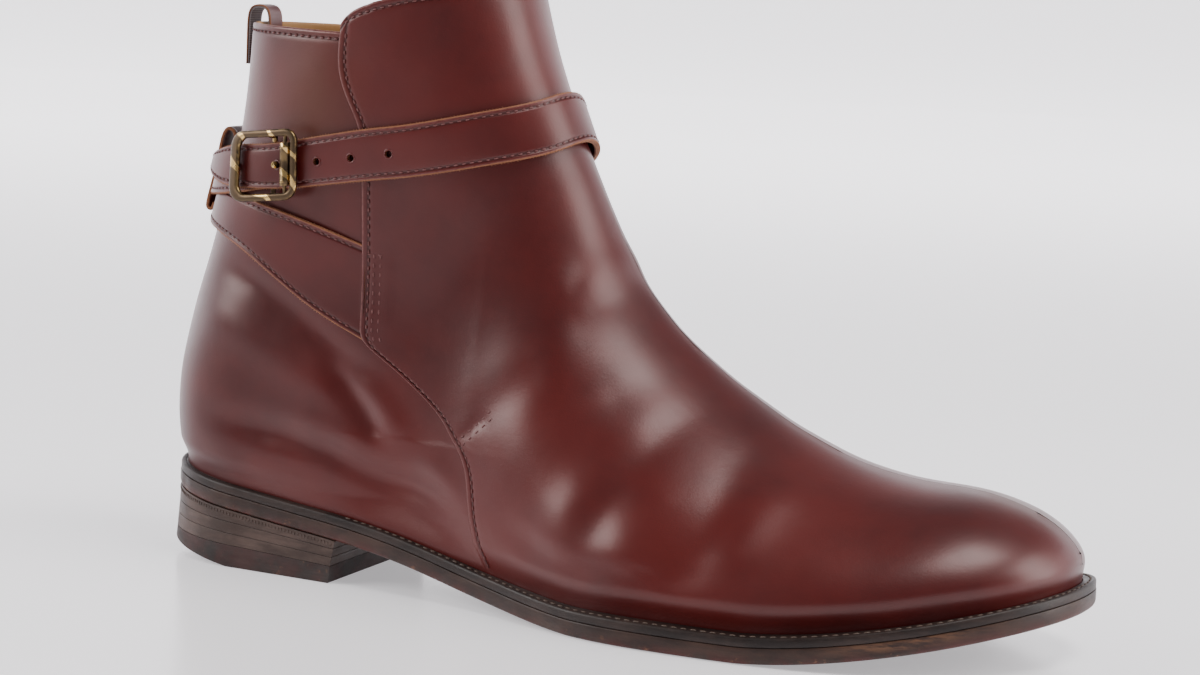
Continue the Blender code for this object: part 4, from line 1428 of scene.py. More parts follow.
    def panel(self, name: str, vamp: bool) -> bpy.types.Object:
        """Vamp or quarters as one closed solid with rounded free edges.

        Args:
            name: Name of the piece.
            vamp: Whether it is the vamp.

        Returns:
            The piece.
        """
        base, free, row = self.grid(vamp)
        normal, relief = self.normals(base), self.last.relief(base)
        lift = self.last.lift(base[..., 0], base[..., 2]) if vamp else np.zeros(base.shape[:2])
        groove = self.groove_depth * np.exp(-(row / self.groove_width) ** 2)
        full = self.last.vamp_step * lift
        bottom = full - self.vamp_depth if vamp else np.full(full.shape, -self.skin_depth)
        out = between((bottom, full), 0.25 + 0.75 * self.round_edge(free, self.edge_radius))
        both = [(base + normal * (up + relief)[..., None]).reshape(-1, 3)
                for up in (bottom, out - groove)]
        values = {"edge_mm": np.minimum(free, NO_EDGE), "stitch_mm": row,
                  "patina": self.patina(base)}
        values = {k: np.tile(v.ravel(), 2) for k, v in values.items()}
        return mesh_piece(name, np.concatenate(both), shell_faces(*base.shape[:2]), self.leather,
                          SHARP, values)

    def lining_panel(self, name: str, vamp: bool) -> bpy.types.Object:
        """Lining behind a panel.

        Args:
            name: Name of the piece.
            vamp: Whether it lines the vamp.

        Returns:
            The piece.
        """
        base, free, _ = self.grid(vamp)
        last_row = base.shape[0] - 1
        rows = np.unique(np.concatenate([np.arange(0, last_row, 2), [last_row]]))
        base, free = base[rows][:, ::2], free[rows][:, ::2]
        normal, relief = self.normals(base), self.last.relief(base)
        drop = 0.45 * (1 - self.round_edge(free, 1.0))
        top = np.full(base.shape[:2], -0.03 if vamp else -self.skin_depth - self.lining_gap)
        if vamp:
            lift = self.last.lift(base[..., 0], base[..., 2])
            top = np.minimum(self.last.vamp_step * lift - self.vamp_depth - self.lining_gap, top)
        both = [(base + normal * (up + relief)[..., None]).reshape(-1, 3)
                for up in (drop - self.last.wall, top)]
        return mesh_piece(name, np.concatenate(both), shell_faces(*base.shape[:2]), self.lining,
                          SHARP)

    def seam_lines(self) -> list[tuple[Array, Array]]:
        """Stitch rows of the upper.

        Returns:
            Points and outward vectors of each row.
        """
        last, lines = self.last, []
        for side in Side:
            def row(x: Array, z: Array, out: Array) -> None:
                """Keep one row at a distance from the base surface."""
                lines.append(last.over_upper(x, z, side, out + 0 * x))

            # the vamp's rear edge, the tab's top edge and the quarters' top edge
            low = float(last.feather_height(np.array(90.0))) + 1.5
            z = np.linspace(low, 172.0, 160)
            x = last.seam_x(z) + self.edge_row
            row(x, z, last.vamp_step * last.lift(x, z) - self.sunk)
            x = np.linspace(2.5, 52.0, 60)
            row(self.tab_from + x, self.tab_height(x) - self.top_row, last.vamp_step - self.sunk)
            share = np.linspace(0.012, 0.44, 60)
            z = self.collar_height(share) - self.top_row
            row(between((last.back_at(z), last.front_at(z)), share), z, -self.sunk)
            # the double row in front of the quarter, closed at its top
            z = np.linspace(78.5, 104.5, 24)
            for ahead in (4.4, 6.6):
                row(last.seam_x(z) + ahead, z, last.vamp_step)
            row(np.linspace(43.8, 47.4, 5), np.full(5, 105.0), last.vamp_step)
            # the bar tack on the vamp
            for lean in (0.0, 2.2):
                row(np.linspace(80.8, 89.5, 9) + 0.4 * lean, np.linspace(52.0, 60.5, 9) - lean,
                    last.vamp_step)
        return lines

    def build(self) -> None:
        """Make the panels, the linings and the stitches."""
        place(self.panel("vamp", True), "upper_leather", "upper")
        place(self.panel("quarters", False), "upper_leather")
        place(self.lining_panel("vamp_lining", True), "insole_leather")
        place(self.lining_panel("quarter_lining", False), "insole_leather")
        self.repeater.sew("upper_stitches", "upper_leather", self.seam_lines(), self.thread,
                          self.stitch)


@dataclass
class Sole:
    """Outsole, welt, stacked heel and their marks."""

    last: Last
    repeater: Repeater
    edge: bpy.types.Material
    heel_edge: bpy.types.Material
    welt_look_painted_shade: bpy.types.Material
    rubber: bpy.types.Material
    welt_thread: bpy.types.Material
    stations: int = 220
    heel_breast: float = 37.0
    heel_wear: tuple[float, float] = (-4.0, 5.0)
    heel_edge_inset: tuple[float, float] = (0.3, -0.8)
    breast_lean: tuple[float, float] = (0.6, 2.0)
    heel_planes: dict[str, tuple[float, float]] = field(default_factory=lambda: {
        "heel_lift_1": (17.4, 10.9), "heel_lift_2": (13.0, 8.2), "heel_top_piece": (8.5, 5.4)})
    heel_gap: float = 0.05
    welt_row: float = 1.9
    welt_tuck: float = 0.35
    stitches_from: float = 40.0
    streak_at: tuple[float, float] = (228.0, 4.0)
    streak_reach: tuple[float, float] = (16.0, 0.8)
    outsole_edge: tuple[tuple[float, float], ...] = (
        (16.0, 0.0), (7.0, 0.0), (4.4, 0.0), (4.0, 0.35), (3.6, 0.0), (1.6, 0.0), (0.9, 0.1),
        (0.45, 0.35), (0.15, 0.8), (0.0, 1.5), (0.0, 3.4), (0.02, 4.6), (0.1, 4.9), (0.3, 5.0))
    lift_edge: tuple[tuple[float, float, float], ...] = (
        (1, 0.7, 0.0), (1, 0.16, 0.02), (1, 0.04, 0.08), (1, 0.0, 0.25), (0.5, 0.0, 0.0),
        (0, 0.0, -0.2), (0, 0.03, -0.06), (0, 0.12, -0.01), (0, 0.7, 0.0))
    stitch: Stitching = Stitching(3.0, 2.1, 0.85, 0.7, 0.12)
    wheel_mark: Stitching = Stitching(1.25, 0.6, 1.4, 0.5, 0.2)

    def outsole(self) -> bpy.types.Object:
        """Outsole with a rounded, slightly beaded edge.

        Returns:
            The piece.
        """
        last = self.last
        loops = [last.outline(self.stations, inset, lambda x, up=up: last.sole_height(x) + up)
                 for inset, up in self.outsole_edge]
        points, faces = skin(loops)
        x, y, _ = points.T
        inset, up = np.repeat(self.outsole_edge, len(loops[0]), 0).T
        side = inset < 2
        rim = np.clip(1 - up / 2.4, 0, 1) * side
        y += 0.07 * np.sin(x * 0.9 + 3 * np.sin(x * 0.21)) * (up > 0.2) * np.sign(y)
        streak = sum(((v - at) / reach) ** 2
                     for v, at, reach in zip((x, up), self.streak_at, self.streak_reach))
        streak = np.exp(-streak) * side * (y < 0)
        return mesh_piece("outsole_leather", points, faces, self.edge, SHARP,
                          {"rim": rim, "streak": streak})

    def welt(self) -> bpy.types.Object:
        """Welt with a rounded edge and a stitch channel.

        Returns:
            The piece.
        """
        last = self.last

        def inside(x: Array) -> Array:
            """Inner edge of the welt, under the upper."""
            return np.maximum(last.feather_inset(x) - self.welt_tuck, 2.05)

        profile = ((0.4, 0.02), (0.22, 0.1), (0.16, 0.3), (0.2, 2.2), (0.4, 2.65), (0.8, 2.9),
                   (1.2, 3.0), (1.55, 2.9), (self.welt_row, 2.7), (2.25, 2.9), (2.6, 2.98),
                   (inside, 2.98), (inside, 0.0))
        loops = [last.outline(self.stations, inset,
                              lambda x, up=up: last.outsole_top(x) + last.seat_gap + up)
                 for inset, up in profile]
        return mesh_piece("welt_strip", *skin(loops, True), self.welt_look_painted_shade, SHARP)

    def heel_loop(self, inset: float, height: Callable, breast: float) -> Array:
        """Loop of the heel: outer side to the breast, straight across, inner side back.

        Args:
            inset: Distance from the sole's edge.
            height: Function that gives z at each station.
            breast: Station of the heel's front face.

        Returns:
            The loop's points.
        """
        last, back = self.last, self.last.heel_back + inset
        turn = np.linspace(0, math.pi / 2, 48)
        x = np.concatenate([back * np.cos(turn), np.linspace(0, breast, 24)[1:]])
        outer = -last.half_width(x, Side.OUTER, inset, back, last.toe_tip)
        inner = last.half_width(x, Side.INNER, inset, back, last.toe_tip)
        z = height(x)
        return np.concatenate([np.stack([x, outer, z], -1), np.stack([x, inner, z], -1)[:0:-1]])

    def plane(self, name: str) -> Callable:
        """Slope of the top of one heel piece.

        Args:
            name: Name of the solid.

        Returns:
            Function that gives the height at each station.
        """
        start = self.last.heel_back
        return lambda x: between(self.heel_planes[name], (x - start) / (self.heel_breast - start))

    def heel(self) -> None:
        """Lifts and top piece, each with softened edges."""
        last = self.last
        low, rise = self.heel_wear

        def ground(x: Array) -> Array:
            """Worn underside of the top piece."""
            return rise * np.clip((low - x) / (low - last.heel_back), 0, 1)

        def seat(x: Array) -> Array:
            """Underside of the outsole."""
            return last.sole_height(x) - last.seat_gap

        planes = [seat] + [self.plane(n) for n in self.heel_planes] + [ground]
        names = ("heel_base_lift", *self.heel_planes)
        for level, name in enumerate(names):
            top, bottom = planes[level], planes[level + 1]
            loops = []
            for down, inset, up in self.lift_edge:
                depth = (level + down) / len(names)

                def height(x: Array, down: float = down, up: float = up) -> Array:
                    """Level between the piece's top and its underside."""
                    return between((bottom(x) + self.heel_gap, top(x)), 1 - down) + up

                breast = self.heel_breast - between(self.breast_lean, depth) - inset * 0.6
                flare = between(self.heel_edge_inset, depth)
                loops.append(self.heel_loop(inset + flare, height, breast))
            points, faces = skin(loops)
            look, slot, rim = ((self.rubber, "heel_rubber", 0.35) if name == "heel_top_piece"
                               else (self.heel_edge, "heel_leather", 0.0))
            place(mesh_piece(name + "_finish", points, faces, look, SHARP,
                             {"rim": np.full(len(points), rim)}), slot, name)

    def welt_lines(self) -> list[tuple[Array, Array]]:
        """Line of the welt stitches, from the waist round the toe.

        Returns:
            Its points and outward vectors.
        """
        last = self.last
        loop = last.outline(400, self.welt_row, lambda x: last.welt_top(x) - 0.12)
        line = loop[loop[:, 0] > self.stitches_from]
        return [(line, np.tile(UP, (len(line), 1)))]

    def wheel_lines(self) -> list[tuple[Array, Array]]:
        """Line of the wheel marks along the top of the heel, on either side.

        Returns:
            Points and outward vectors of each side's line.
        """
        last = self.last
        loop = self.heel_loop(0.22, lambda x: last.sole_height(x) - 1.3, self.heel_breast - 1.0)
        return [(part, unit(np.cross(unit(np.gradient(part, axis=0)), UP)))
                for part in (loop[:72], loop[-70:])]

    def build(self) -> None:
        """Make the sole's pieces and their marks."""
        place(self.outsole(), "sole_leather", "outsole")
        place(self.welt(), "welt_leather", "welt")
        self.heel()
        self.repeater.sew("welt_stitches", "welt_leather", self.welt_lines(), self.welt_thread,
                          self.stitch)
        self.repeater.sew("heel_wheel_marks", "heel_leather", self.wheel_lines(), self.heel_edge,
                          self.wheel_mark)


@dataclass(frozen=True)
class Band:
    """Strap that follows the leg, one row of the table per station."""

    rows: Table
    stations: int

    def at(self, name: str, share: Array) -> Array:
        """Read a column at a share of the band's length."""
        index = np.arange(len(self.rows["offset"]))
        return smooth_curve(index, self.rows[name], np.asarray(share, float) * index[-1])

    def point(self, last: Last, share: Array, across: Array, out: Array) -> Array:
        """Point on or over the band.

        Args:
            last: Form of the boot.
            share: Share of the band's length.
            across: 0 on the lower edge and 1 on the upper.
            out: 0 on the inner face and 1 on the outer.

        Returns:
            The points, in millimetres.
        """
        angle, height = (between((self.at(n + "_low", share), self.at(n + "_high", share)), across)
                         for n in ("angle", "z"))
        offset = self.at("offset", share) + self.at("thickness", share) * out
        return last.shaft_point(angle, height, offset)

    def width(self, last: Last, share: Array) -> Array:
        """Width of the band.

        Args:
            last: Form of the boot.
            share: Shares of the band's length.

        Returns:
            The width at each share.
        """
        one = np.ones_like(share)
        gap = self.point(last, share, one, 0 * one) - self.point(last, share, 0 * one, 0 * one)
        return np.linalg.norm(gap, axis=-1)


@dataclass
class Straps:
    """Wrap strap with its wing, the strap that carries the buckle, and the punched holes."""

    last: Last
    repeater: Repeater
    leather: bpy.types.Material
    thread: bpy.types.Material
    fibre: bpy.types.Material
    stitch: Stitching = Stitching(2.5, 1.55, 0.62, 0.6, 0.14)
    fray: Stitching = Stitching(1.0, 0.14, 0.14, 0.95, 0.7)
    row: float = 1.7
    edge_width: float = 6.2
    least_middle: float = 2.0
    hole_reach: tuple[float, float] = (0.6, 9.6)
    hole_sides: int = 24
    hole_x: tuple[float, ...] = (-1.0, 13.4, 26.6, 38.3, 50.8)
    hole_radius: float = 1.25
    buckle: tuple[float, float, float] = (10.0, 130.0, 0.17)
    wrap: Band = Band({
        "angle_low": (82.4, 69.2, 48.8, 21.8, 0, -30, -50, -70, -90, -120, -150, -180,
                      -205, -230, -255, -270, -290, -303, -318, -330, -339, -347),
        "z_low": (77.8, 88.5, 102.5, 108.2, 109.5, 112.0, 114.8, 118.0, 121.5, 127.0, 134.5, 141.0,
                  138.6, 134.9, 130.4, 128.0, 124.4, 122.6, 121.8, 123.0, 124.9, 126.8),
        "angle_high": (87.8, 71.9, 52.6, 27.9, 0, -30, -50, -70, -90, -120, -150, -180,
                       -205, -230, -255, -270, -290, -303, -318, -330, -339, -347),
        "z_high": (107.4, 113.4, 118.0, 121.8, 127.0, 129.5, 132.0, 135.0, 138.0, 142.5, 149.5,
                   156.0, 154.0, 150.5, 146.0, 143.6, 139.4, 136.8, 134.9, 132.2, 130.0, 128.0),
        "offset": (0.12, 0.6, 0.6, 1.2, 1.8, 1.7, 1.6, 1.6, 1.6, 1.9, 2.4, 2.8,
                   2.8, 2.2, 1.8, 1.7, 2.0, 3.7, 4.9, 5.3, 5.5, 5.6),
        "thickness": (0.8, 1.5, 1.6, 1.6, 1.6, 1.6, 1.6, 1.6, 1.6, 1.7, 1.9, 2.0,
                      2.0, 1.8, 1.7, 1.7, 1.7, 1.6, 1.6, 1.6, 1.6, 1.4)}, 330)
    carrier: Band = Band({
        "angle_low": (-82.4, -69.0, -49.0, -30, 0, 25, 45, 55),
        "z_low": (77.8, 85.5, 98.0, 106.5, 115.0, 117.5, 120.3, 122.4),
        "angle_high": (-87.8, -72.0, -51.0, -30, 0, 25, 45, 55),
        "z_high": (107.4, 110.4, 114.0, 120.5, 128.0, 132.0, 135.0, 136.6),
        "offset": (0.12, 1.4, 3.6, 3.8, 3.9, 3.4, 2.6, 1.4),
        "thickness": (0.8, 1.4, 1.4, 1.4, 1.4, 1.4, 1.4, 1.1)}, 130)

    def section(self) -> list[tuple[float, float, float]]:
        """Half of a strap's section, from its cut edge inwards.

        Returns:
            Distance from the edge, share of the thickness and groove depth of each point.
        """
        return [(0.0, 0.18, 0), (0.0, 0.5, 0), (0.0, 0.82, 0), (0.14, 0.95, 0), (0.4, 1.0, 0),
                (0.9, 1.0, 0), (1.3, 1.0, 0.05), (self.row, 1.0, 0.16), (2.1, 1.0, 0.05),
                (2.6, 1.0, 0), (3.9, 1.02, 0), (5.2, 1.03, 0), (self.edge_width, 1.03, 0)]

    def room(self, band: Band, share: Array) -> Array:
        """Width of a band, kept above what both halves of its section need."""
        return np.maximum(band.width(self.last, share), 2 * self.edge_width + self.least_middle)

    def strap(self, name: str, band: Band) -> bpy.types.Object:
        """Strap with softened cut edges and a groove for each stitch row.

        Args:
            name: Name of the piece.
            band: Its course.

        Returns:
            The piece.
        """
        share = np.linspace(0, 1, band.stations)
        room, thick, centre = self.room(band, share), band.at("thickness", share), 0.5 + 0 * share
        low = [(mm / room, out, dip, mm) for mm, out, dip in self.section()]
        high = [(1 - across, out, dip, mm) for across, out, dip, mm in reversed(low)]
        back = [(1 - 0.4 / room, 0.0, 0.0, 0.4), (centre, 0.0, 0.0, 8.0),
                (0.4 / room, 0.0, 0.0, 0.4)]
        ring = low + [(centre, 1.03, 0.0, 8.0)] + high + back
        loops = [band.point(self.last, share, across, out - dip / thick)
                 for across, out, dip, _ in ring]
        points, faces = skin(list(np.stack(loops, 1)))
        ends = np.arange(len(share))[::-1, None] * 0.8
        mm = np.tile([p[3] for p in ring], (len(share), 1))
        values = {"edge_mm": np.minimum(mm, ends), "stitch_mm": np.abs(mm - self.row)}
        return mesh_piece(name, points, faces, self.leather, SHARP, values)

    def hole_line(self, x: float) -> tuple[Array, Array]:
        """Middle and axis of a punched hole in the wrap strap.

        Args:
            x: Station of the hole.

        Returns:
            Two points of its axis, inside and outside the strap.
        """
        z = np.array(self.buckle[1] + self.buckle[2] * (x - self.buckle[0]))
        angle = self.last.angle_for_x(np.array(x), z)
        return tuple(self.last.shaft_point(angle, z, np.array(out)) for out in self.hole_reach)

    def punch(self, strap: bpy.types.Object) -> list[tuple[Array, list]]:
        """Cut the holes and give the rims of their mouths.

        Args:
            strap: The wrap strap.

        Returns:
            Points and faces of each rim.
        """
        rims, cutters = [], []
        turn = circle(self.hole_sides)
        surface = np.array([v.co for v in strap.data.vertices]) / MM
        for x in self.hole_x:
            inside, outside = self.hole_line(x)
            axis = unit(outside - inside)
            across = unit(np.cross(axis, UP))
            ring = np.outer(np.cos(turn), across) + np.outer(np.sin(turn), np.cross(axis, across))
            cutters.append(skin([end + self.hole_radius * ring for end in (inside, outside)]))
            away = np.linalg.norm(np.cross(surface - inside, axis), axis=1)
            face = ((surface - inside) @ axis)[away < 4.0].max()
            path = inside + axis * (face - 0.08) + (self.hole_radius + 0.12) * ring
            rims.append(tube(path, ring, np.tile(axis, (len(ring), 1)), 0.30, 0.24, 8, True))
        cutter = mesh_piece("hole_cutter", *join(cutters), self.leather)
        boolean = strap.modifiers.new("holes", "BOOLEAN")
        boolean.operation, boolean.solver, boolean.object = "DIFFERENCE", "EXACT", cutter
        graph = bpy.context.evaluated_depsgraph_get()
        result = bpy.data.meshes.new_from_object(strap.evaluated_get(graph))
        strap.modifiers.remove(boolean)
        result.set_sharp_from_angle(angle=math.radians(35))
        strap.data = result
        bpy.data.objects.remove(cutter)
        return rims

    def rows_of(self, band: Band, start: float, end: float) -> list[tuple[Array, Array]]:
        """Stitch rows along both edges of a band.

        Args:
            band: The band.
            start: Share of its length at which the rows start.
            end: Share at which they end.

        Returns:
            Points and outward vectors of each row.
        """
        share = np.linspace(start, end, 400)
        room, lines = self.room(band, share), []
        for across in (self.row / room, 1 - self.row / room):
            inside, outside = (band.point(self.last, share, across, out) for out in (0.0, 1.0))
            normal = unit(outside - inside)
            lines.append((outside - normal * 0.1, normal))
        return lines

    def frayed(self, band: Band, start: float, end: float) -> list[tuple[Array, Array]]:
        """Lines along both cut edges of a band, on which its raw fibres stand.

        Args:
            band: The band.
            start: Share of its length at which the lines start.
            end: Share at which they end.

        Returns:
            Points and outward vectors of each line.
        """
        share = np.linspace(start, end, 500)
        lines = []
        for across, inward in ((0.0, 0.05), (1.0, 0.95)):
            for out in (0.45, 0.85):
                edge = band.point(self.last, share, across + 0 * share, out)
                inside = band.point(self.last, share, inward + 0 * share, out)
                lines.append((edge, unit(edge - inside)))
        return lines

    def build(self) -> None:
        """Make both straps, their holes, stitches and raw fibres."""
        wrap = self.strap("wrap_strap", self.wrap)
        rims = self.punch(wrap)
        place(wrap, "strap_leather", "strap")
        points, faces = join(rims)
        flat = {"edge_mm": np.full(len(points), 0.9), "stitch_mm": np.full(len(points), NO_EDGE)}
        place(mesh_piece("hole_rims", points, faces, self.leather, 60.0, flat), "strap_leather")
        place(self.strap("carrier_strap", self.carrier), "strap_leather", "buckle_strap")
        lines = self.rows_of(self.wrap, 0.012, 0.992) + self.rows_of(self.carrier, 0.02, 0.95)
        self.repeater.sew("strap_stitches", "strap_leather", lines, self.thread, self.stitch)
        fibres = self.frayed(self.wrap, 0.02, 0.99) + self.frayed(self.carrier, 0.02, 0.95)
        self.repeater.sew("strap_fibres", "strap_leather", fibres, self.fibre, self.fray)


@dataclass
class BackPieces:
    """Back strip, keeper loop and pull loop on the back seam."""

    last: Last
    repeater: Repeater
    leather: bpy.types.Material
    cloth: bpy.types.Material
    thread: bpy.types.Material
    strip_width: float = 7.0
    strip_thickness: float = 1.2
    keeper_width: float = 11.0
    keeper_thickness: float = 1.2
    pull_width: float = 8.0
    pull_thickness: float = 0.60
    pull_bend: float = 0.012
    stitch_inset: float = 1.2
    strap_band: tuple[float, float] = (108.0, 139.0)
    stitch: Stitching = Stitching(2.2, 1.6, 0.5, 0.4, 0.12)
    keeper: Table = field(default_factory=lambda: {
        "height": (134.6, 137.0, 137.6, 134.0, 127.0, 119.5, 113.4, 110.9, 111.0, 113.0),
        "offset": (2.4, 3.4, 5.7, 6.9, 6.8, 6.7, 6.7, 6.1, 4.8, 4.4)})
    pull: Table = field(default_factory=lambda: {
        "x": (-18.2, -18.2, -18.0, -16.2, -13.0, -10.6, -10.4, -10.6),
        "z": (160.0, 168.0, 175.6, 178.6, 178.8, 176.0, 168.0, 161.0)})

    def section(self, width: float, thickness: float) -> list[tuple[float, float, float]]:
        """Section of a narrow strip with a groove along each edge.

        Args:
            width: Its width.
            thickness: Its thickness.

        Returns:
            Place across, stand-off and distance from the edge of each point.
        """
        half, deep = width / 2, thickness / 2
        right = [(half - mm, out, mm) for out, mm in (
            (deep, half), (deep, 1.6), (deep - 0.12, 1.2), (deep, 0.8), (deep - 0.04, 0.25),
            (deep * 0.6, 0.0), (-deep * 0.6, 0.0), (-deep, 0.25), (-deep, half))]
        return right + [(-a, out, mm) for a, out, mm in reversed(right[1:-1])]

    def strip(self, name: str, middle: tuple[Array, Array], width: float, thickness: float,
              count: int, side: int) -> bpy.types.Object:
        """Strip laid over the back seam.

        Args:
            name: Name of the piece.
            middle: Heights and stand-offs of its middle line.
            width: Its width.
            thickness: Its thickness.
            count: Stations along it.
            side: 1 if its grain side faces away from the leg where it rises, or else -1.

        Returns:
            The piece.
        """
        height, offset = even_curve(middle, count)
        along = unit(np.stack([np.gradient(height), np.gradient(offset)], -1))
        section, loops = self.section(width, thickness)[::-side], []
        for across, out, _ in section:
            z = height - out * side * along[:, 1]
            stand = offset + out * side * along[:, 0]
            angle = self.last.angle_for_width(abs(across), z) * np.sign(across)
            loops.append(self.last.shaft_point(angle, z, stand))
        points, faces = skin(list(np.stack(loops, 1)))
        mm = np.tile([p[2] for p in section], (count, 1))
        values = {"edge_mm": mm, "stitch_mm": np.full(mm.shape, NO_EDGE)}
        return mesh_piece(name, points, faces, self.leather, SHARP, values)

    def pull_loop(self) -> tuple[bpy.types.Object, bpy.types.Object]:
        """Pull loop of leather outside and webbing inside.

        Returns:
            The leather and the webbing.
        """
        x, z = even_curve((self.pull["x"], self.pull["z"]), 70)
        path = np.stack([x, 0 * x, z], -1)
        ahead = unit(np.gradient(path, axis=0))
        across = np.tile([0.0, 1.0, 0.0], (len(path), 1))
        rise = np.cross(across, ahead)
        rise *= np.sign(rise[0, 0]) * -1
        half, thick = self.pull_width / 2, self.pull_thickness / 2
        made = []
        for name, out, look, wide in (("pull_loop_leather", 0.22, self.leather, half),
                                      ("pull_loop_webbing", -0.34, self.cloth, half - 0.3)):
            points, faces = tube(path + rise * out, across, rise, wide, thick, 20, fullness=5.0)
            points[:, 0] += self.pull_bend * points[:, 1] ** 2
            values = {"edge_mm": half - abs(points[:, 1]),
                      "stitch_mm": np.full(len(points), NO_EDGE)}
            made.append(mesh_piece(name, points, faces, look, SHARP, values))
        return tuple(made)

    def lines(self) -> list[tuple[Array, Array]]:
        """Stitch rows of the back strip, below and above the straps.

        Returns:
            Points and outward vectors of each row.
        """
        back = self.last.rings["back_z"]
        z = np.linspace(back[0] + 3.0, back[-2] - 2.0, 120)
        low, high = self.strap_band
        out, found = self.last.curve_gap + self.strip_thickness - 0.1, []
        for side in (-1, 1):
            for part in (z[z < low], z[z > high]):
                inset = self.strip_width / 2 - self.stitch_inset
                angle = self.last.angle_for_width(inset, part) * side
                points, under = (self.last.shaft_point(angle, part, np.full(len(part), d))
                                 for d in (out, 0.0))
                found.append((points, unit(points - under)))
        return found

    def build(self) -> None:
        """Make the strip, the keeper, the pull loop and their stitches."""
        back = self.last.rings["back_z"]
        heights = np.linspace(back[0] + 2.0, back[-2] - 0.6, 12)
        offsets = np.full(12, self.last.curve_gap + self.strip_thickness / 2)
        place(self.strip("heel_seam_strip", (heights, offsets), self.strip_width,
                         self.strip_thickness, 130, 1), "upper_leather", "back_strip")
        place(self.strip("keeper_loop", (self.keeper["height"], self.keeper["offset"]),
                         self.keeper_width, self.keeper_thickness, 80, -1),
              "strap_leather", "back_loop")
        leather, webbing = self.pull_loop()
        place(leather, "loop_leather", "pull_loop")
        place(webbing, "loop_leather")
        self.repeater.sew("back_stitches", "upper_leather", self.lines(), self.thread, self.stitch)


